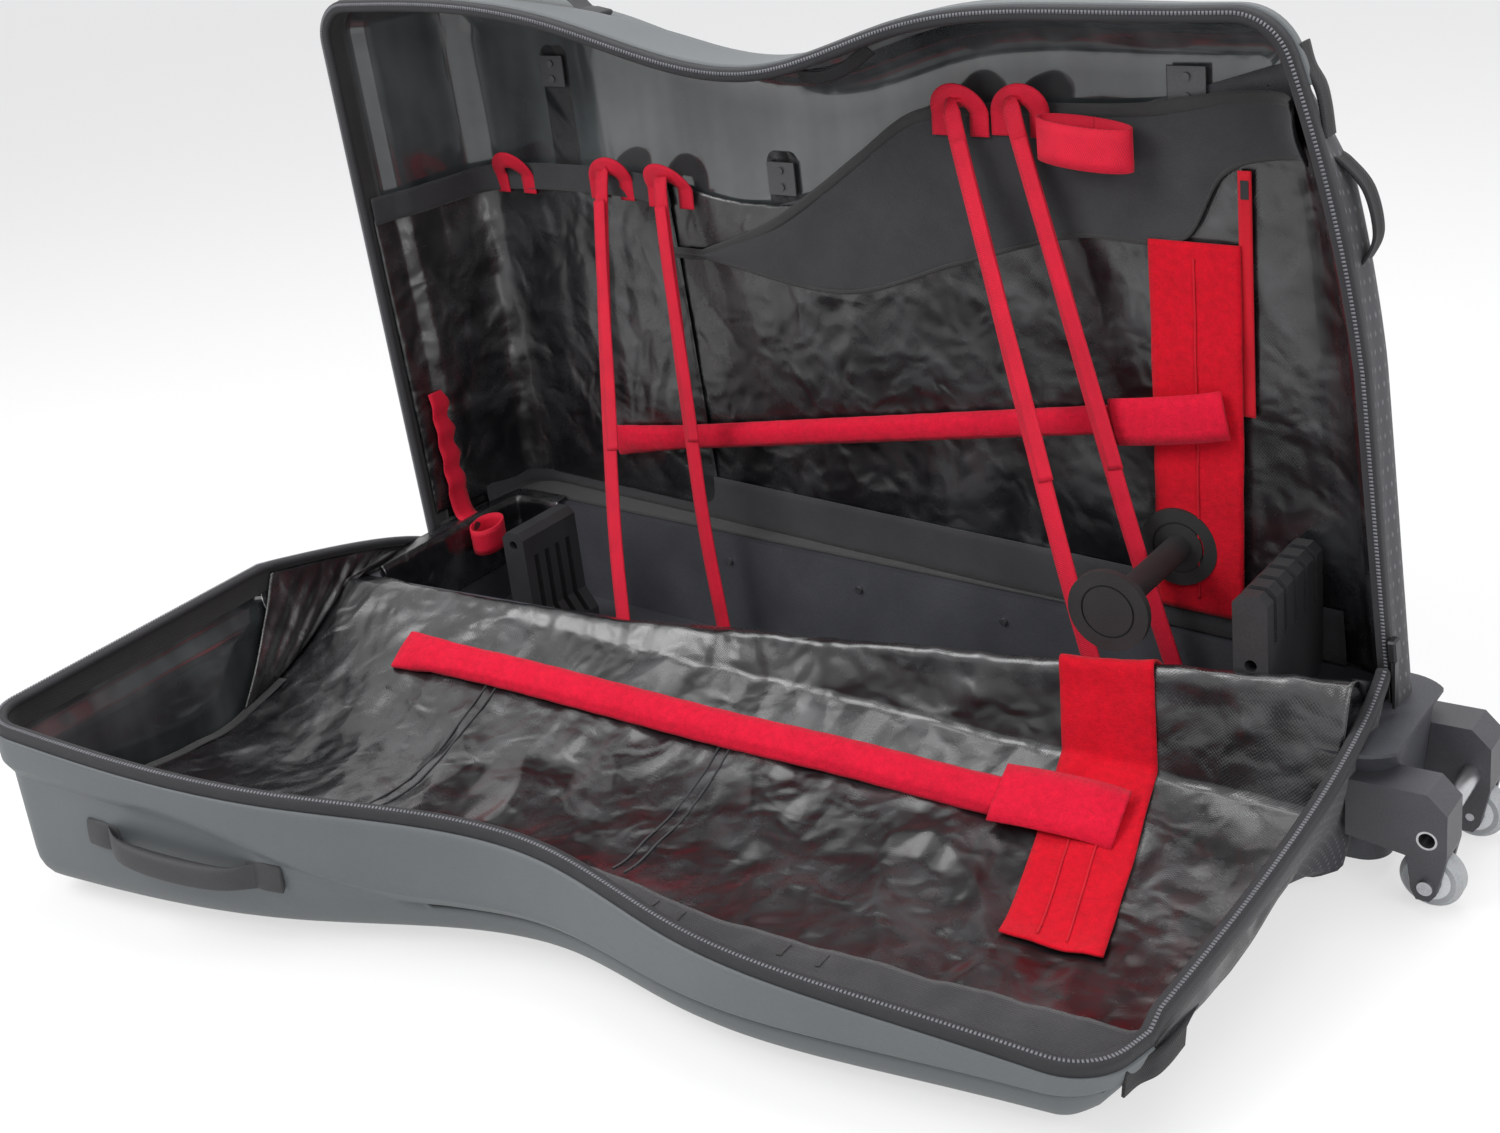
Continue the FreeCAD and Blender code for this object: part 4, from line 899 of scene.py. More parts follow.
def slack_depth(x, z):
    """Depth of the slack lining, averaged over a short length so that its bends are round."""
    line = list(slack_line(x))
    total = 0
    for shift in (-ROUNDING, 0, ROUNDING):
        for (az, ay), (bz, by) in zip(line, line[1:]):
            if z + shift <= bz or (bz, by) == line[-1]:
                total += ay + (by - ay) * (z + shift - az) / (bz - az)
                break
    return total / 3


print("slack depth", [round(slack_depth(0, z)) for z in (340, 450, 565, 670, 740)])

# %% [markdown]
# ### One sheet from the front rim over the roll
# The first part of each column is the slack line, as it shows in the opened lid. The last part is the roll,
# drawn through its foot, its crest and two points on the way down into the base. Creases come last, and are
# less where the cloth is held.

# %% Lid lining
LID_COLUMNS, LID_ROWS, LID_CUT = 240, 130, (1.16, 0.75)
LID_LINING_LEFT, SLACK_SKIN = -636, 2
LID_FOLD, LID_CREASE, OFF_LINING = (110, 5.5), (46, 2.4), Vector((0, -0.25, 1))
lid_lining_right = polyline([(0, 506), (0.08, 528), (0.2, 546), (0.4, 564), (0.72, 584), (1, 592)])
FRONT_DROP, FRONT_CORNER, ROLL_START, ROLL_SHARE, ROLL_RISE = 21, 30, 0.72, 0.6, 6
CREST = ((-640, -92, 112), (-585, -116, 126), (-512, -142, 142), (-229, -125, 150), (80, -110, 170),
         (308, -95, 188), (508, -80, 202), (624, -60, 205))
crest_y, crest_z = polyline([(x, y) for x, y, _ in CREST]), polyline([(x, z) for x, _, z in CREST])
OVER = (Vector((0, 30, -20)), Vector((0, 44, -80)))


def lid_lining_left(_):
    """Left edge of the lining, the same at every place between its front and its back."""
    return LID_LINING_LEFT


def slack_point(x, z):
    return in_lid(Vector((x, slack_depth(x, z) - SLACK_SKIN, z)))


def front_of(x):
    """Height, closed, of the lining's edge on the front wall."""
    return min(top_edge(x), right_start[1] + FRONT_CORNER) - FRONT_DROP


def lid_surface(x, v):
    """The slack lining without its creases: v runs from the front rim over the roll into the base."""
    low = lid_low(x)
    if v <= ROLL_START:
        return slack_point(x, front_of(x) + (low - front_of(x)) * v / ROLL_START)
    foot = slack_point(x, low)
    crest = Vector((foot.x, crest_y(foot.x), crest_z(foot.x)))
    roll = [foot, foot.lerp(crest, ROLL_SHARE) + Z * ROLL_RISE, crest] + [crest + step for step in OVER]
    return flow(roll, (v - ROLL_START) / (1 - ROLL_START))


def lid_lining_place(x, v, lift=0.0):
    """A point of the creased lining, or `lift` above it."""
    spot = lid_surface(x, v)
    held = min(1, 9 * v, 6 * (1 - v) + 0.25)
    pull = Vector((spot.x * 0.8 + spot.y * 0.35, spot.y * 0.55, spot.z))
    wave = billow(pull, *LID_FOLD) + billow(Vector((spot.x, spot.y * 0.5, 3)), *LID_CREASE)
    return spot + OFF_LINING * (wave * held + lift)


def lid_lining_grid(u, v):
    return lid_lining_place(LID_LINING_LEFT + (lid_lining_right(v) - LID_LINING_LEFT) * u, v)


lid_lining = cloth_grid("lid_lining", LID_COLUMNS, LID_ROWS, lid_lining_grid, LID_CUT)
dress(thicken(lid_lining, LINING_THICK), lining, "liner_cloth", None, "lid_liner")
as_sheet(lid_lining)
fold_at_hinge(lid_lining)
print("lid lining", round(area_of(lid_lining), 3), "m2")

# %% [markdown]
# ## Pockets
# The left pocket is a loose panel of lining gathered under a matte hem. It is laid over the lining, a few
# millimetres further in, and a sine along its length gives the pleats, deeper towards the hem.

# %% Left pocket with its pleats
POCKET_SKIN, POCKET_FOOT, HEM, HEM_OVER, POCKET_LEVEL, REACH = 11, 168, 34, 6, 400, 0.36
PLEAT_RUN, PLEAT_WANDER, PLEAT, POCKET_LOOSE, POCKET_FOLD = 9, 70, 3.4, 9, (60, 3.0)
HEM_OUT, HEM_FOLD, HEM_THICK = 3, (90, 0.8), 1.6
left_hem = polyline([(-720, 588), (-600, 600), (-480, 604), (-380, 602), (-268, 590)])


def left_pocket_place(u, v):
    share = u * REACH
    spot_low = on_wall(POCKET_LEVEL, POCKET_SKIN, share)
    z = POCKET_FOOT + (left_hem(spot_low.x) - HEM + HEM_OVER - POCKET_FOOT) * v
    spot = on_wall(z, POCKET_SKIN, share)
    loose = math.sin(math.pi * u) ** 0.5 * math.sin(math.pi * min(v, 0.97)) ** 0.6
    pleat = math.sin(spot.x / PLEAT_RUN + 2 * noise.noise(spot / PLEAT_WANDER)) * (0.4 + 0.6 * v)
    return spot + inward(spot) * (loose * (POCKET_LOOSE + PLEAT * pleat + billow(spot, *POCKET_FOLD)))


def left_hem_place(u, v):
    share = u * REACH
    x = on_wall(POCKET_LEVEL, POCKET_SKIN, share).x
    z = left_hem(x) - HEM * (1 - v)
    spot = on_wall(z, POCKET_SKIN, share)
    return spot + inward(spot) * (math.sin(math.pi * u) * POCKET_LOOSE + HEM_OUT + billow(spot, *HEM_FOLD))


left_cloth = cloth_grid("left_pocket_cloth", 150, 90, left_pocket_place, (0.6, 0.42))
dress(thicken(left_cloth, LINING_THICK), lining, "liner_cloth", "rear_half", "left_pocket")
left_band = cloth_grid("left_pocket_hem", 110, 6, left_hem_place, (0.6, 0.034))
dress(thicken(left_band, HEM_THICK), pocket_cloth, "pocket_cloth", "rear_half")
print("left pocket", round(area_of(left_cloth), 3), "m2")

# %% [markdown]
# ### The right pocket
# A matte panel lies between two borders; the lower one swings up in an S. A dark tape binds the top border, a
# thinner one covers the seam below, and a strip of the same cloth runs along the foot of the lining.

# %% Right pocket panel, kick strip and bindings
panel_low = polyline([(-273, 502), (-59, 479), (111, 527), (263, 568), (386, 575), (440, 639), (500, 658),
                      (640, 664)])
panel_top = polyline([(-273, 504), (-160, 545), (-75, 590), (0, 634), (86, 681), (175, 693), (364, 698),
                      (491, 713), (640, 704)])
PANEL_START, PANEL_END, PANEL_LEVEL = 0.335, 0.985, 560
PANEL_OUT, PANEL_LOOSE, PANEL_FOLD, PANEL_THICK = 1.5, 4, (130, 1.6), 1.2
BINDING_WIDTH, SEAM_WIDTH, TAPE_CROWN = 13, 5, 0.8
KICK_START, KICK_REACH, KICK_FOOT, KICK_HEIGHT, KICK_FOLD = 0.06, 0.88, 153, 58, (120, 0.9)


def panel_place(u, v):
    share = PANEL_START + (PANEL_END - PANEL_START) * u
    x = on_wall(PANEL_LEVEL, POCKET_SKIN, share).x
    z = panel_low(x) + (panel_top(x) - panel_low(x)) * v
    spot = on_wall(z, POCKET_SKIN, share)
    return spot + inward(spot) * (PANEL_OUT + PANEL_LOOSE * math.sin(math.pi * v) + billow(spot, *PANEL_FOLD))


def edge_tape(name, border, start, end, width, skin, lift):
    """A narrow tape that binds a border on the wall."""
    def place(u, v):
        share = start + (end - start) * u
        x = on_wall(PANEL_LEVEL, skin, share).x
        spot = on_wall(border(x) + width * (v - 0.5), skin, share)
        return spot + inward(spot) * (lift + TAPE_CROWN * math.sin(math.pi * v))
    piece = cloth_grid(name, 160, 3, place, ((end - start) * 1.6, width * MM))
    return dress(thicken(piece, PANEL_THICK), kick_cloth, "pocket_cloth", "rear_half")


panel = cloth_grid("right_pocket_panel", 170, 40, panel_place, (1.0, 0.14))
dress(thicken(panel, PANEL_THICK), pocket_cloth, "pocket_cloth", "rear_half", "right_pocket")
top_tape = edge_tape("right_pocket_binding", panel_top, PANEL_START, PANEL_END, BINDING_WIDTH, POCKET_SKIN,
                     lift=3.5)
low_tape = edge_tape("right_pocket_seam", panel_low, PANEL_START, PANEL_END, SEAM_WIDTH, POCKET_SKIN,
                     lift=3.0)


def kick_place(u, v):
    share = KICK_START + KICK_REACH * u
    spot = on_wall(KICK_FOOT + KICK_HEIGHT * v, POCKET_SKIN - 1, share)
    return spot + inward(spot) * (PANEL_OUT + billow(spot, *KICK_FOLD))


kick = cloth_grid("kick_strip", 140, 6, kick_place, (1.5, 0.058))
dress(thicken(kick, PANEL_THICK), pocket_cloth, "pocket_cloth", "rear_half")
as_sheet(kick)
print("right pocket", round(area_of(panel), 3), "m2")

# %% [markdown]
# ### Shelf above the base
# The fabric wall is wider than the base. A narrow strip of cloth closes the shelf between the two, from the
# foot of the wall in to the edge of the base.

# %% Shelf between the fabric wall and the base
TUB_LEFT, TUB_RIGHT, TUB_HALF_LEFT, TUB_HALF_RIGHT = -630, 640, 150, 72
SHELF_FOLD, SHELF_THICK = (60, 0.6), 1.5


def tub_half(x):
    return TUB_HALF_LEFT + (TUB_HALF_RIGHT - TUB_HALF_LEFT) * (x - TUB_LEFT) / (TUB_RIGHT - TUB_LEFT)


def shelf_place(u, v):
    wall = on_wall(RIM_LOW + 2, 2, u)
    base = Vector((max(wall.x, TUB_LEFT + 4), min(wall.y, tub_half(wall.x) + 6), RIM_LOW + 1.5))
    return wall.lerp(base, v) + Vector((0, 0, billow(wall, *SHELF_FOLD) * math.sin(math.pi * v)))


shelf = cloth_grid("rear_floor_shelf", 120, 8, shelf_place, (1.6, 0.07))
dress(thicken(shelf, SHELF_THICK), kick_cloth, "wall_fabric", "rear_half")
as_sheet(shelf)
print("floor shelf", round(area_of(shelf), 3), "m2")

# %% [markdown]
# ### Lining of the far end
# At the end away from the wheels the shiny lining hangs over the edge of the base and down inside it. Its
# grid follows that end in plan, and each column goes over the edge and then straight down.

# %% Lining of the far end of the base
END_X, END_LOW, END_MIDDLE_X = -617, 66, -520
END_RUN = [Vector(p) for p in ((END_X, -126, 0), (END_X, -90, 0), (END_X, 0, 0), (END_X, 112, 0),
                               (-604, 132, 0), (-540, 128, 0))]
OUT_BY, OVER_SHARE, EDGE_SHARE, EDGE_RISE = 26, 0.3, 0.22, 5
END_SKIN, END_FOLD = 2, (40, 1.6)


def end_place(u, v):
    spot = flow(END_RUN, u)
    outward = (spot - Vector((END_MIDDLE_X, min(spot.y, 0), 0))).normalized()
    over = ease(1 - v / OVER_SHARE) if v < OVER_SHARE else 0
    down = RIM_LOW + EDGE_RISE - max(v - EDGE_SHARE, 0) / (1 - EDGE_SHARE) * (RIM_LOW - END_LOW)
    place = spot + outward * (OUT_BY * over) + Z * down
    return place - outward * (END_SKIN + billow(place, *END_FOLD) * min(1, 3 * v))


end_lining = cloth_grid("base_end_lining", 110, 50, end_place, (0.42, 0.13))
dress(thicken(end_lining, LINING_THICK), lining, "liner_cloth", "rear_half")
as_sheet(end_lining)
print("base end lining", round(area_of(end_lining), 3), "m2")

# %% [markdown]
# ## Webbing
# Straps, loops, the tool ladder and the wide post loop are flat woven tapes. A tape is a long narrow grid:
# it follows a smooth line, and at each place its width points the way that the tape lies.

# %% Tape helper
WEB_THICK, NEARBY = 1.8, 0.004


def tape(name, points, across, width, finish, slot, body, thick=WEB_THICK, columns=60, crown=0.0):
    """A woven tape along a smooth line; `across` gives the way its width points, at its start and its end."""
    first, last = (across if isinstance(across, tuple) else (across, across))
    length = sum(runs_of(points))

    def place(u, v):
        spot = flow(points, u)
        run = (flow(points, min(u + NEARBY, 1)) - flow(points, max(u - NEARBY, 0))).normalized()
        side = first.lerp(last, u)
        side = (side - run * side.dot(run)).normalized()
        return spot + side * (width * (v - 0.5)) + side.cross(run) * (crown * (1 - (2 * v - 1) ** 2))

    piece = cloth_grid(name, columns, 4, place, (length * MM, width * MM))
    return dress(thicken(piece, thick), finish, slot, body)


BACK_SLOPE = -0.109
UPHILL = Vector((1, BACK_SLOPE, 0)).normalized()


def back_wall(x, z, lift):
    """A point on the rear wall, `lift` in from its outer face."""
    return Vector((x, depth(x) - lift, z))


print("the back wall leans", round(math.degrees(math.atan(BACK_SLOPE)), 1), "degrees in plan")

# %% [markdown]
# ### Loops along the pockets
# Five loops of red webbing stand along the pockets' top edges. Each is a flat band bent into an arch, wider
# outside than inside, which no straight tape gives, so its grid is bent in polar coordinates.

# %% Loops along the pockets
LOOPS = ((-583, 586, 16), (-404, 588, 16), (-304, 584, 16), (131, 690, 19), (205, 692, 19))
LOOP_INNER, LOOP_BAND, LOOP_LEG, LEG_SHARE, LOOP_FLAT = 13, 23, 24, 0.2, 0.9
LOOP_TILT, LOOP_LEAN, LOOP_FLARE, LOOP_WAVE = 0.3, 9, 5, 2


def pocket_loop(number, x, z, lift):
    """A flat band bent into an arch, its two ends sewn under the pocket's edge."""
    foot, tilt = back_wall(x, z, lift), LOOP_TILT * math.sin(number * 2.1)

    def place(u, v):
        radius = LOOP_INNER + LOOP_BAND * v
        angle = math.pi * min(max((u - LEG_SHARE) / (1 - 2 * LEG_SHARE), 0), 1)
        leg = LOOP_LEG * max(LEG_SHARE - u, u - 1 + LEG_SHARE, 0) / LEG_SHARE
        side, rise = -math.cos(angle) * radius, math.sin(angle) * radius * LOOP_FLAT
        lean = math.sin(angle) * (LOOP_LEAN + LOOP_FLARE * v) + LOOP_WAVE * math.sin(4 * u + number)
        return foot + UPHILL * (side + tilt * rise) + Z * (rise - leg) - Y * lean

    piece = cloth_grid(f"pocket_loop_{number}", 48, 4, place, (0.15, LOOP_BAND * MM))
    return dress(thicken(piece, WEB_THICK), red_web, "red_webbing", "rear_half")


loops = [pocket_loop(number, *place) for number, place in enumerate(LOOPS)]
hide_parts("pocket_loops")
print("pocket loops", len(loops))

# %% [markdown]
# ### Straps
# Four straps hang from the loops to anchors in the base. Each has a short tail on its front, where the end
# is sewn back on itself.

# %% Straps with their sewn ends
STRAPS = {"front_strap_near": ((-404, 600), (-284, -60)), "front_strap_far": ((-304, 596), (-224, 58)),
          "rear_strap_near": ((131, 700), (360, -46)), "rear_strap_far": ((205, 704), (398, 48))}
ANCHOR_TOP, STRAP_WIDTH, STRAP_LIFT, STRAP_SWAY = 49, 20, 26, 6
for name, ((x, z), (foot_x, foot_y)) in STRAPS.items():
    top, foot = back_wall(x, z, STRAP_LIFT), Vector((foot_x, foot_y, ANCHOR_TOP))
    sway = STRAP_SWAY * math.sin(x)
    route = [top + Y * 9 - Z * 4, top + Z * 3, top - Y * 8 - Z * 10]
    route += [top.lerp(foot, share) + X * sway * math.sin(math.pi * share) - Y * 8
              for share in (0.25, 0.5, 0.75)]
    route.append(foot)
    strap = tape(name + "_webbing", route, (UPHILL, X), STRAP_WIDTH, red_web, "red_webbing", "rear_half",
                 thick=2.2, columns=110)
    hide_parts(name)
    tail = [top + (foot - top) * share - Y * (12 + 2 * math.sin(9 * share))
            for share in (0.05, 0.2, 0.4, 0.56)]
    tape(name + "_tail", tail, UPHILL, STRAP_WIDTH - 2, red_web, "red_webbing", "rear_half", thick=1.6)
print("straps", len(STRAPS))

# %% [markdown]
# ### Post loop, tool ladder and pocket zip
# The wide loop on the right pocket is a tape round an oval. The tool ladder is a tape sewn down at even
# distances, so it waves in and out between its seams, and ends in a ring. The pocket's zip is a plain red
# tape.

# %% Post loop, ladder and pocket zip
POST_X, POST_Z, POST_HALF, POST_OUT, POST_WIDTH, POST_TILT, POST_LIFT = 290, 670, 52, 42, 42, 5, 20
post_wall = back_wall(POST_X, POST_Z, POST_LIFT)


def post_place(angle):
    out = POST_OUT * 0.5 * (1 - math.sin(angle))
    return post_wall + UPHILL * (POST_HALF * math.cos(angle)) - Y * out - Z * (POST_TILT * math.cos(angle))


ring = [post_place(math.pi * (0.5 + step / 9)) for step in range(19)]
post_loop = tape("post_loop", ring, Z, POST_WIDTH, red_web, "red_webbing", "rear_half",
                 thick=2.4, columns=90)
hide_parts("seat_strap")
LADDER_Y, LADDER_LOW, LADDER_TOP, LADDER_STEP = 47, 168, 330, 18
LADDER_FOOT = ((-634, 160), (-618, 150), (-615, 134), (-618, 116), (-617, 84))
LADDER_WIDTH, LADDER_SKIN, RING_X, RING_Z, RING_WIDTH = 32, 9.5, -596, 134, 34


def left_wall(y, z, lift):
    return Vector((left_edge(z) + STEP_INSET + LADDER_SKIN + lift, y, z))


ladder_line = [left_wall(LADDER_Y, z, 2 + 3 * (number % 2))
               for number, z in enumerate(range(LADDER_TOP, LADDER_LOW, -LADDER_STEP))]
ladder_line += [Vector((x, LADDER_Y, z)) for x, z in LADDER_FOOT]
ladder = tape("tool_ladder", ladder_line, Y, LADDER_WIDTH, red_web, "red_webbing", "rear_half",
              thick=2.2, columns=110)
ladder_ring = [Vector((RING_X - 20 * math.cos(a), LADDER_Y + 24 * math.sin(a), RING_Z + 4 * math.sin(a)))
               for a in [TURN * step / 16 for step in range(17)]]
tape("tool_ladder_ring", ladder_ring, Z, RING_WIDTH, red_web, "red_webbing", "rear_half",
     thick=2.2, columns=70)
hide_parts("ladder_strap")
ZIP_X, ZIP_LOW, ZIP_TOP, ZIP_WIDTH, ZIP_LIFT = 446, 400, 644, 14, 12
zip_line = [back_wall(ZIP_X, z, ZIP_LIFT) for z in (ZIP_TOP, 560, 480, ZIP_LOW)]
pocket_zip = tape("pocket_zip", zip_line, UPHILL, ZIP_WIDTH, red_zip, "red_zip", "rear_half", thick=1.4)
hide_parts("pocket_zip_tape")
print("ladder", round(sum(runs_of(ladder_line))), "mm, post loop", round(sum(runs_of(ring))), "mm round")

# %% [markdown]
# ## Red loop panels
# A wide band of brushed loop fabric crosses each half; the hook discs and the sleeve's tab grip it. In the
# lid it follows the slack lining and goes over the roll. Rows of stitches hold both.

# %% Loop panels
PANEL_LEFT, PANEL_RIGHT, PANEL_LOW, PANEL_HIGH = 339, 437, 178, 572
LID_SHIFT, LID_SKEW, LID_FRONT, LID_REACH, LID_LIFT = 10, 45, 0.315, 0.615, 5.0
REAR_LIFT, REAR_SLACK, REAR_SWAY, PILE_FOLD, PILE_THICK = 14, 3, 5, (90, 1.6), 2.4


def rear_panel_place(u, v):
    x, z = PANEL_LEFT + (PANEL_RIGHT - PANEL_LEFT) * u, PANEL_LOW + (PANEL_HIGH - PANEL_LOW) * v
    slack = REAR_SLACK * math.sin(math.pi * v) + billow(Vector((x * 0.3, 0, z)), *PILE_FOLD)
    return back_wall(x + REAR_SWAY * math.sin(2.2 * v), z, REAR_LIFT + slack)


def lid_panel_place(u, v):
    x = PANEL_LEFT + LID_SHIFT - LID_SKEW * v + (PANEL_RIGHT - PANEL_LEFT) * u
    return lid_lining_place(x, LID_FRONT + LID_REACH * v, LID_LIFT)


rear_panel = cloth_grid("rear_loop_cloth", 16, 60, rear_panel_place, (0.098, 0.39))
dress(thicken(rear_panel, PILE_THICK), red_loop, "red_loop_cloth", "rear_half", "rear_loop_panel")
as_sheet(rear_panel)
lid_panel = cloth_grid("lid_loop_cloth", 16, 90, lid_panel_place, (0.098, 0.4))
dress(thicken(lid_panel, PILE_THICK), red_loop, "red_loop_cloth", None, "lid_loop_panel")
as_sheet(lid_panel)
fold_at_hinge(lid_panel)
print("loop panels", round(area_of(rear_panel), 4), round(area_of(lid_panel), 4), "m2")

# %% [markdown]
# ## Padded sleeves
# Each half has a long sleeve of red cloth with foam in it, which keeps what is packed off the wall. A slim
# bar is remeshed into an even skin and blown up a little with Blender's cloth simulation, so that it crowns
# and wrinkles as stuffed cloth does. Points may move only a few millimetres.

# %% Sleeve from a cloth simulation
SLEEVE_FOAM, SLEEVE_SWELL, SKIN_CELL = 7, 5, 5.0
LAST_FRAME, PRESSURE, QUALITY = 20, 4, 4
SEAT, CROWN, RIPPLE, RIPPLE_RUN, END_TAB, TAB_PAST = -1.5, 1.35, 0.5, 7, (0.86, 1.01), 8


def evaluated_mesh(piece):
    return bpy.data.meshes.new_from_object(piece.evaluated_get(bpy.context.evaluated_depsgraph_get()))


def stuffed_bar(name, length, height):
    """A bar of cloth along X, flat side at Y = 0, swollen by pressure."""
    bm = bmesh.new()
    bmesh.ops.create_cube(bm, size=1.0)
    bmesh.ops.scale(bm, vec=Vector((length, SLEEVE_FOAM, height)) * MM, verts=bm.verts)
    bmesh.ops.translate(bm, vec=Vector((length / 2, SLEEVE_FOAM / 2, 0)) * MM, verts=bm.verts)
    piece = finished(name, bm)
    skin = piece.modifiers.new("skin", "REMESH")
    skin.mode, skin.voxel_size = "VOXEL", SKIN_CELL * MM
    mesh = evaluated_mesh(piece)
    piece.modifiers.clear()
    piece.data = mesh
    start = [vertex.co.copy() for vertex in mesh.vertices]
    cloth = piece.modifiers.new("stuffing", "CLOTH")
    cloth.settings.use_pressure = True
    cloth.settings.uniform_pressure_force = PRESSURE
    cloth.settings.quality = QUALITY
    cloth.settings.effector_weights.gravity = 0
    cloth.point_cache.frame_end = LAST_FRAME
    for number in range(1, LAST_FRAME + 1):
        bpy.context.scene.frame_set(number)
    swollen = evaluated_mesh(piece)
    piece.modifiers.clear()
    for vertex, before in zip(swollen.vertices, start):
        move = vertex.co - before
        if move.length > SLEEVE_SWELL * MM:
            vertex.co = before + move.normalized() * SLEEVE_SWELL * MM
    piece.data = swollen
    bpy.context.scene.frame_set(1)
    return piece


def lay_bar(piece, line, out, height):
    """Bend a straight bar onto a line; `out` points away from what carries it."""
    length = sum(runs_of(line))
    for vertex in piece.data.vertices:
        share = vertex.co.x / MM / length
        spot = flow(line, share)
        run = (flow(line, share + 0.01) - flow(line, share - 0.01)).normalized()
        rise = (out - run * out.dot(run)).normalized()
        hug = 1 - abs(vertex.co.z / MM) / height * 0.5
        lift = max(vertex.co.y / MM, SEAT) * hug * CROWN + RIPPLE * math.sin(vertex.co.x / MM / RIPPLE_RUN)
        place = spot + rise * lift + run.cross(rise) * (vertex.co.z / MM)
        vertex.co = place * MM
    for face in piece.data.polygons:
        face.use_smooth = True
    return piece


SLEEVE_LEFT, SLEEVE_RIGHT, SLEEVE_Z, SLEEVE_RISE, SLEEVE_SKIN = -455, 428, 240, 164, 19
LID_SLEEVE = ((-493, 389), (-340, 397), (-190, 404), (-40, 410), (110, 417), (260, 424), (407, 430))
REAR_HEIGHT, LID_HEIGHT, FILL = 42, 56, 0.7


def sleeve_height(x):
    """Height of the rear sleeve, which slopes up towards the wheel end."""
    return SLEEVE_Z + SLEEVE_RISE * (x - SLEEVE_LEFT) / (SLEEVE_RIGHT - SLEEVE_LEFT)


rear_line = [back_wall(x, sleeve_height(x), SLEEVE_SKIN) for x in (SLEEVE_LEFT, -160, 135, SLEEVE_RIGHT)]
lid_line = [lid_lining_place(x, ROLL_START * (front_of(x) - z) / (front_of(x) - lid_low(x)), 5)
            for x, z in LID_SLEEVE]
INTO_CASE, UP_FROM_LID = Vector((-0.108, -0.994, 0)), Vector((0.05, -0.5, 0.86))
for name, line, out, body, height in (("rear_sleeve", rear_line, INTO_CASE, "rear_half", REAR_HEIGHT),
                                      ("lid_sleeve", lid_line, UP_FROM_LID, "lid", LID_HEIGHT)):
    length = sum(runs_of(line))
    pad = lay_bar(stuffed_bar("padded_" + name, length, height), line, out, height)
    smooth = pad.modifiers.new("smooth", "SUBSURF")
    smooth.levels = smooth.render_levels = 1
    dress(pad, red_pad, "red_padding", body, name)
    start, end = (flow(line, share) for share in END_TAB)
    lift = out.normalized() * (SLEEVE_FOAM + TAB_PAST)
    cover = [start.lerp(end, share) + lift * rise
             for share, rise in ((0, 0.9), (0.35, 1.1), (0.75, 1), (1, 0.5))]
    cross = (end - start).cross(out).normalized()
    tape(name + "_tab", cover, cross, height + TAB_PAST, red_pad, "red_padding", body,
         thick=2.6, columns=40, crown=2.0)
    print(name, "runs", round(length), "mm")

# %% [markdown]
# ## Rim, zip and bindings
# Round each rim runs a tape with half of the zip on it: a folded strip, and a row of small teeth. Inside, a
# dark binding covers the edge of the shell. The lid's rim is rigid along its hard shell and follows the
# twisted fabric down to the hinge, so each half's rim is described as one line of points.

# %% Rim lines
LOW_STEPS, WHEEL_END_FOOT, RIM_CUT = 26, 38, (3.0, 0.04)


def rear_rim(inset, y):
    """Points along the rear rim, `inset` in from it and y back from the zip plane."""
    points = []
    for step in range(LOW_STEPS):
        z = FOOT_LOW + (hard_line(RIM_LEFT) - FOOT_LOW) * step / LOW_STEPS
        points.append(Vector((left_edge(z) + inset, y, z)))
    points += [Vector((x, y, z)) for x, z in outline(inset)]
    high = points[-1].z
    for step in range(1, LOW_STEPS + 1):
        z = high + (RIM_LOW + WHEEL_END_FOOT - high) * step / LOW_STEPS
        points.append(Vector((right_edge(z) - inset, y, z)))
    return points


def lid_rim(inset, y):
    """The same for the lid as it lies open."""
    lift = Z * (RIM_FRONT - y)
    points = [lid_wall_place(0, step / LOW_STEPS) + lift + X * inset for step in range(LOW_STEPS)]
    points += [in_lid(Vector((x, y, z))) for x, z in outline(inset)]
    points += [lid_wall_place(1, 1 - step / LOW_STEPS) + lift - X * inset for step in range(1, LOW_STEPS + 1)]
    return points


def rim_strip(name, line, profile, finish, slot, node=None):
    """A strip along a rim; the profile gives each of its rows as an inset and a way back from the zip."""
    rows = [line(inset, y) for inset, y in profile]
    last_row, last_column = len(rows) - 1, len(rows[0]) - 1

    def place(u, v):
        return rows[round(v * last_row)][round(u * last_column)]

    piece = cloth_grid(name, last_column, last_row, place, RIM_CUT)
    body = "rear_half" if line is rear_rim else None
    dress(thicken(piece, PANEL_THICK), finish, slot, body, *([node] if node else []))
    if body is None:
        fold_at_hinge(piece)
    return piece


TAPE_PROFILE = [(-0.5, 17), (-1.6, 12), (-1.8, 6), (-1.2, 3), (1, 1.8), (4, 1.6), (8, 1.8), (10.5, 3.5),
                (11.5, 8)]
BINDING_PROFILE = [(9, 5), (7.5, 12), (6.5, 20), (6.8, 30), (7.4, 36)]
strips = [rim_strip("rear_rim_tape", rear_rim, TAPE_PROFILE, zip_cloth, "zip_tape", "rear_rim_zip"),
          rim_strip("lid_rim_tape", lid_rim, TAPE_PROFILE, zip_cloth, "zip_tape", "lid_rim_zip"),
          rim_strip("rear_rim_binding", rear_rim, BINDING_PROFILE, kick_cloth, "zip_tape"),
          rim_strip("lid_rim_binding", lid_rim, BINDING_PROFILE, kick_cloth, "zip_tape")]
print("rim tapes and bindings, m2", [round(area_of(piece), 3) for piece in strips])

# %% [markdown]
# ### Zip teeth
# A zip's coil shows as a row of small teeth along the tape. Several hundred little blocks in one mesh cost
# few triangles, and each is turned with the rim where it sits.

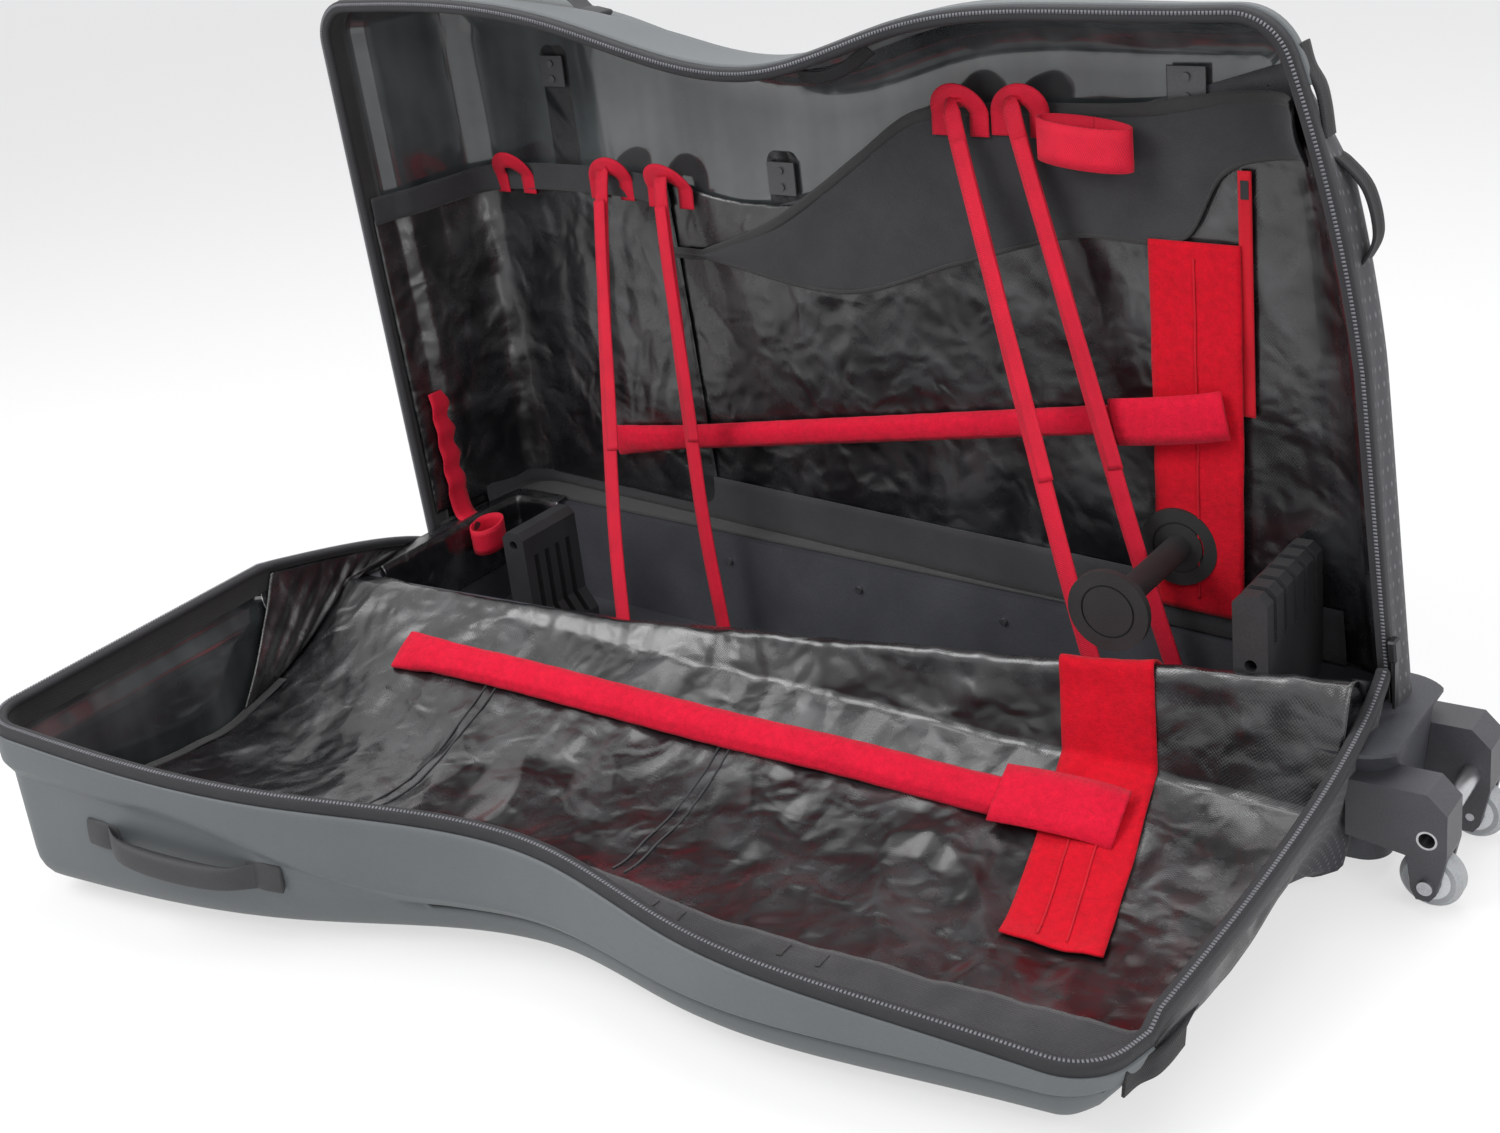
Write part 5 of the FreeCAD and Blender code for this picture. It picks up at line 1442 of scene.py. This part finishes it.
# %% Zip teeth
TOOTH, TOOTH_PITCH = (2.0, 1.7, 3.4), 3.6
TOOTH_INSET, TOOTH_INNER, TOOTH_Y = 2.2, 6.2, 1.2


def zip_teeth(name, line, body):
    """A row of small blocks along the rim."""
    points = line(TOOTH_INSET, TOOTH_Y)
    length = sum(runs_of(points))
    stations = spread(points, int(length / TOOTH_PITCH))
    inner = spread(line(TOOTH_INNER, TOOTH_Y), len(stations))
    bm = bmesh.new()
    for number in range(1, len(stations) - 1):
        run = (stations[number + 1] - stations[number - 1]).normalized()
        across = (inner[number] - stations[number]).normalized()
        across = (across - run * across.dot(run)).normalized()
        turn = Matrix((run, run.cross(across), across)).transposed().to_4x4()
        size = Matrix.Diagonal(Vector(TOOTH + (1,)))
        place = Matrix.Scale(MM, 4) @ Matrix.Translation(stations[number]) @ turn @ size
        bmesh.ops.create_cube(bm, size=1.0, matrix=place)
    piece = finished(name, bm)
    dress(piece, tooth_finish, "zip_tape", body)
    if body is None:
        fold_at_hinge(piece)
    return len(stations)


print("teeth", zip_teeth("rear_zip_teeth", rear_rim, "rear_half"), zip_teeth("lid_zip_teeth", lid_rim, None))

# %% [markdown]
# ## Sides of the lid's lining
# Between the slack lining and the rim the cloth goes up the sides of the lid. At the wheel end it covers the
# whole side; at the other end it is a gathered channel near the hinge, and the bare shell shows beyond it.

# %% Side linings
RIM_RUN, RIM_IN, RIM_LIFT = ((0.02, 0.96), (0.04, 0.94)), 9, 2
GATHERS, GATHER, SIDE_FOLD, SIDE_FULL = 60, 1.6, (50, 2.0), 7


def side_lining(name, edge, side, v_front, v_back, columns):
    """A sheet from an edge of the lining up to the rim; side is 0 at the far end, 1 at the wheel end."""
    first, run = RIM_RUN[side]

    def place(u, v):
        along = v_back + (v_front - v_back) * u
        low = lid_lining_place(edge(along), along, 1.0)
        rim = lid_wall_place(side, first + run * u) + Z * RIM_LIFT + X * (RIM_IN * (1 - 2 * side))
        spot = low.lerp(rim, v)
        gather = math.sin(u * GATHERS + 3 * v) * GATHER + billow(spot, *SIDE_FOLD)
        return spot + (X * (1 - 2 * side) + Z * 0.3) * (math.sin(math.pi * v) * (SIDE_FULL + gather))

    piece = cloth_grid(name, columns, 26, place, (0.5, 0.14))
    dress(thicken(piece, LINING_THICK), lining, "liner_cloth", None)
    as_sheet(piece)
    fold_at_hinge(piece)
    return piece


sides = [side_lining("lid_side_lining_wheel_end", lid_lining_right, 1, 0.02, 0.88, 110),
         side_lining("lid_side_lining_far_end", lid_lining_left, 0, 0.4, 0.9, 90)]
print("side linings, m2", [round(area_of(piece), 3) for piece in sides])

# %% [markdown]
# ## Handles
# Each half has a rubber grip on its top: two feet screwed to the shell and a low arch between them. Rings of
# an oval, drawn a little square, are placed along the arch and bridged.

# %% Moulded grips
ROUND_SHARE, SQUARE_SHARE = 0.72, 0.28


def bridged(name, stations, segments=16):
    """Rings (centre, width direction, thickness direction) bridged into a closed bar."""
    bm = bmesh.new()
    before = None
    for number, (centre, wide, thick) in enumerate(stations):
        ends = number in (0, len(stations) - 1)
        turn = Matrix((wide, thick, wide.cross(thick))).transposed().to_4x4()
        made = bmesh.ops.create_circle(bm, cap_ends=ends, segments=segments, radius=1.0,
                                       matrix=Matrix.Scale(MM, 4) @ Matrix.Translation(centre) @ turn)
        rim = {edge for vertex in made["verts"] for edge in vertex.link_edges
               if all(end in made["verts"] for end in edge.verts)}
        for vertex in made["verts"]:
            local = turn.inverted() @ (vertex.co / MM - centre)
            square = max(abs(local.x), abs(local.y), 1e-6)
            vertex.co = (centre + (vertex.co / MM - centre) * (ROUND_SHARE + SQUARE_SHARE / square)) * MM
        if before:
            bmesh.ops.bridge_loops(bm, edges=list(before | rim))
        before = rim
    bmesh.ops.recalc_face_normals(bm, faces=bm.faces)
    return finished(name, bm)


HANDLE_X, HANDLE_HALF, HANDLE_SHARE, HANDLE_DRAFT = -440, 96, 0.55, 0.78
HALF_ARCH = ((-1.0, 3, 15, 7), (-0.93, 6, 15.5, 7.5), (-0.84, 14, 14, 6.5), (-0.72, 22, 13.5, 6),
             (-0.5, 27, 14.5, 7.5))
ARCH = HALF_ARCH + ((0.0, 30, 15, 8.5),) + tuple((-share, *sizes) for share, *sizes in HALF_ARCH[::-1])
FOOT = ((-0.16, 3.0, 12, 3), (-0.15, 3.2, 16, 4), (0.0, 4, 17, 5), (0.15, 3.2, 16, 4), (0.16, 3.0, 12, 3))
FOOT_RUN, FOOT_PAST, LEAN_LIMIT = 130, 1.02, 0.9


def wall_top(x):
    """A point on the shell's top wall where the handle sits."""
    return Vector((x, HANDLE_SHARE * depth(HANDLE_X), top_edge(x) - SIDE_DRAFT * HANDLE_DRAFT))


def moulded_grip(name, put, finish, body, node):
    """The arch and its two feet, on the rear half or, with in_lid, on the lid; gives the span."""
    left, right = wall_top(HANDLE_X - HANDLE_HALF), wall_top(HANDLE_X + HANDLE_HALF)
    run = (right - left).normalized()
    up = Vector((-run.z, 0, run.x))
    origin = put(Vector())

    def turned_ring(centre, along, rise, width, thick, lean):
        tilt = (up * math.cos(lean) - run * math.sin(lean))
        spot = centre + run * along + up * rise
        return put(spot), (put(Y * width) - origin), (put(tilt * thick) - origin)

    middle, half = (left + right) / 2, (right - left).length / 2
    rings = []
    for share, rise, width, thick in ARCH:
        lean = max(-LEAN_LIMIT, min(LEAN_LIMIT, share ** 3))
        rings.append(turned_ring(middle, share * half, rise, width, thick, lean))
    grip = bridged(name, rings)
    smooth = grip.modifiers.new("smooth", "SUBSURF")
    smooth.levels = smooth.render_levels = 1
    dress(grip, finish, "handle_rubber", body, node)
    for end, sign in (("start", -1), ("end", 1)):
        feet = [turned_ring(middle, sign * half * FOOT_PAST + share * FOOT_RUN, rise, width, thick, 0.0)
                for share, rise, width, thick in FOOT]
        dress(bridged(f"{name}_foot_{end}", feet), finish, "handle_rubber", body)
    return half * 2


grips = [moulded_grip("rear_grip", upright, grip_finish, "rear_half", "rear_top_handle"),
         moulded_grip("lid_grip", in_lid, grip_finish, "lid", "lid_handle")]
print("grips span, mm", [round(span) for span in grips])

# %% [markdown]
# ### Side loop, corner tabs and rim pull
# The wheel end has a carrying loop of black webbing, each corner above it a short tab, and the middle of the
# rim a flat pull. All are tapes that stand a little off the wall.

# %% Side loop and corner tabs
SIDE_Z, SIDE_HALF, SIDE_OUT, SIDE_Y, SIDE_WIDTH = 622, 54, 30, 42, 24


def side_point(z, out):
    return Vector((right_edge(z) - STEP_INSET + out, SIDE_Y, z))


HALF_BOW = ((1.0, 14, 2), (1.0, 0, 3), (0.8, 0, 16), (0.35, 0, SIDE_OUT))
bow = [side_point(SIDE_Z + SIDE_HALF * share + past, out) for share, past, out in HALF_BOW]
bow += [side_point(SIDE_Z - SIDE_HALF * share - past, out) for share, past, out in HALF_BOW[::-1]]
side_loop = tape("side_carry_loop", bow, Y, SIDE_WIDTH, black_web, "black_webbing", "rear_half",
                 thick=3.0, columns=70, crown=1.5)
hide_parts("side_handle")
TAB_LINE, TAB_Y, TAB_WIDTH = ((772, 1.5), (752, 3), (735, 7), (716, 6), (690, 2)), 30, 26
PULL, PULL_WIDTH = ((0, 17, 17), (28, 20, 26), (58, 20, 25), (88, 17, 16)), 15
for name, put, body, node in (("rear_tab", upright, "rear_half", "rear_corner_tab"),
                              ("lid_tab", in_lid, "lid", "lid_corner_tab")):
    tab_line = [put(Vector((right_edge(z) - BAND_DRAFT + lift, TAB_Y, z))) for z, lift in TAB_LINE]
    width_way = put(Y) - put(Vector())
    piece = tape(name, tab_line, width_way, TAB_WIDTH, black_web, "black_webbing", body, thick=2.6, columns=40)
    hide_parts(node)
pull = [Vector((x, y, top_edge(x) - drop)) for x, y, drop in PULL]
tape("rim_pull", pull, Z - Y * 0.5, PULL_WIDTH, black_web, "black_webbing", "rear_half",
     thick=1.6, columns=40)
print("side loop", round(sum(runs_of(bow))), "mm, rim pull", round(sum(runs_of(pull))), "mm")

# %% [markdown]
# ## Strips, bindings and stitches in the lid
# Inside the front rim lies a matte strip, tacked at four places; the lining's free edge is bound with tape,
# and double rows of stitches cross it. Each is a narrow tape on the lining.

# %% Lid strips and stitches
STRIP_LEFT, STRIP_RIGHT, STRIP_EDGE, STRIP_DEEP = -240, 540, 0.004, 0.15
ROW, STITCH, STITCH_THICK, ON_PANEL = [step / 11 for step in range(12)], 2.0, 0.8, 2.2


def strip_place(u, v):
    return lid_lining_place(STRIP_LEFT + (STRIP_RIGHT - STRIP_LEFT) * u, STRIP_EDGE + STRIP_DEEP * v, lift=3.0)


strip = cloth_grid("lid_front_strip", 120, 12, strip_place, (0.78, 0.07))
dress(thicken(strip, PANEL_THICK), pocket_cloth, "pocket_cloth", "lid")
as_sheet(strip)


def lining_row(name, x, start, end, width, finish, slot, lift):
    """A narrow tape or a row of stitches that crosses the lining from front to back."""
    line = [lid_lining_place(x, start + (end - start) * share, lift) for share in ROW]
    return tape(name, line, X, width, finish, slot, "lid", thick=1.0)


lining_row("lid_lining_binding", LID_LINING_LEFT + 5, 0.02, 0.5, 14, kick_cloth, "pocket_cloth", lift=1.6)
for number, x in enumerate((-352, -338, -38, -24)):
    lining_row(f"lid_stitch_{number}", x, 0.18, 0.6, STITCH, pocket_cloth, "pocket_cloth", lift=1.2)
for number, x in enumerate((40, 75, 190, 228)):
    lining_row(f"lid_tack_{number}", x, 0.1, 0.135, 5, kick_cloth, "pocket_cloth", lift=4.4)
for number, across in enumerate((0.34, 0.62)):
    row = [lid_panel_place(across, 0.03 + 0.5 * share) + Z * ON_PANEL for share in ROW]
    tape(f"lid_panel_stitch_{number}", row, X, STITCH, red_zip, "red_loop_cloth", "lid", thick=STITCH_THICK)
row = [rear_panel_place(0.5, 0.04 + 0.92 * share) - Y * ON_PANEL for share in ROW]
tape("rear_panel_stitch", row, UPHILL, STITCH, red_zip, "red_loop_cloth", "rear_half", thick=STITCH_THICK)
print("front strip", round(area_of(strip), 3), "m2")

# %% [markdown]
# ## Floor and background
# A product studio has a plain pale floor that runs into a white background. The camera and mirrors should see
# them nearly white, but as bright as that they would wash out the case with their light, so the kind of ray
# decides which look it meets.

# %% Floor and world
def direct_rays(tree):
    """1 for rays that come straight, or by a mirror or a clear piece, from the camera."""
    path = tree.nodes.new("ShaderNodeLightPath")
    kinds = [Wire(tree, path.outputs[f"Is {kind} Ray"]) for kind in ("Camera", "Glossy", "Transmission")]
    return (kinds[0] + kinds[1] + kinds[2]).step(0.0, 1.0)


def studio():
    bm = bmesh.new()
    bmesh.ops.create_grid(bm, x_segments=2, y_segments=2, size=14.0)
    floor = finished("studio_floor", bm)
    material, shader, place, _ = begin("pale floor", Roughness=0.9)
    tree = material.node_tree
    seen = direct_rays(tree)
    pale = place.node("Emission", None, {"Color": (1, 1, 1, 1), "Strength": 1.0})
    drive(shader, Base_Color=place.noise(2.0, 2.0).blend((0.86, 0.86, 0.86, 1), (0.9, 0.9, 0.9, 1)))
    plain = Wire(tree, shader.outputs[0])
    both = place.node("MixShader", None, {0: seen * 0.62, 1: plain, 2: pale})
    tree.links.new(both.socket, tree.nodes["Material Output"].inputs["Surface"])
    floor.data.materials.append(material)
    world = bpy.data.worlds.new("studio")
    bpy.context.scene.world = world
    world.use_nodes = True
    tree = world.node_tree
    soft = tree.nodes["Background"]
    soft.inputs["Color"].default_value = (0.82, 0.84, 0.87, 1)
    soft.inputs["Strength"].default_value = 0.55
    white = tree.nodes.new("ShaderNodeBackground")
    white.inputs["Color"].default_value = (1, 1, 1, 1)
    choose = tree.nodes.new("ShaderNodeMixShader")
    tree.links.new(direct_rays(tree).socket, choose.inputs[0])
    tree.links.new(soft.outputs[0], choose.inputs[1])
    tree.links.new(white.outputs[0], choose.inputs[2])
    tree.links.new(choose.outputs[0], tree.nodes["World Output"].inputs["Surface"])


studio()
print("studio floor and background ready")

# %% [markdown]
# ## Lamps
# Three large soft lamps, as in a product studio: a key from the left, a weaker fill from the right and one
# from above that lights the inside.

# %% Lamps
def lamp(name, place, target, size, watts):
    light = bpy.data.lights.new(name, "AREA")
    light.shape, light.size, light.energy = "SQUARE", size, watts
    piece = bpy.data.objects.new(name, light)
    piece.location = place
    piece.rotation_euler = (Vector(target) - Vector(place)).to_track_quat("-Z", "Y").to_euler()
    bpy.context.collection.objects.link(piece)


lamp("key_lamp", (-1.6, -2.2, 2.9), (0, -0.1, 0.3), 2.2, 95)
lamp("fill_lamp", (2.7, -1.6, 1.9), (0.1, -0.1, 0.35), 1.8, 42)
lamp("top_lamp", (0.2, 0.6, 3.1), (0, -0.2, 0.3), 2.4, 60)
print("lamps", [light.name for light in bpy.data.lights])

# %% [markdown]
# ## Camera
# The camera stands where the photograph was taken from. Its lens and shift give the photograph's framing, and
# are worked out from a focal length and a centre in pixels of the photograph.

# %% Camera
EYE = (1.139946, -1.616906, 1.067529)
RIGHTWARDS, UPWARDS = Vector((0.7980352, 0.5906854, -0.1192920)), Vector((-0.1248094, 0.3556798, 0.9262367))
FRAME_WIDTH, FRAME_HEIGHT = 1500, 1133
FOCUS, CENTRE_X, CENTRE_Y = 1923.41, 707.17, 491.65
SENSOR = 36
camera = bpy.data.objects.new("camera", bpy.data.cameras.new("camera"))
turned = Matrix((RIGHTWARDS, UPWARDS, RIGHTWARDS.cross(UPWARDS))).transposed().to_4x4()
camera.matrix_world = Matrix.Translation(EYE) @ turned
camera.data.sensor_fit, camera.data.sensor_width = "HORIZONTAL", SENSOR
camera.data.lens = SENSOR * FOCUS / FRAME_WIDTH
camera.data.shift_x = (FRAME_WIDTH / 2 - CENTRE_X) / FRAME_WIDTH
camera.data.shift_y = (CENTRE_Y - FRAME_HEIGHT / 2) / FRAME_WIDTH
camera.data.clip_end = 60
bpy.context.collection.objects.link(camera)
bpy.context.scene.camera = camera
bpy.context.scene.view_settings.view_transform = "Standard"
print("lens", round(camera.data.lens, 2))
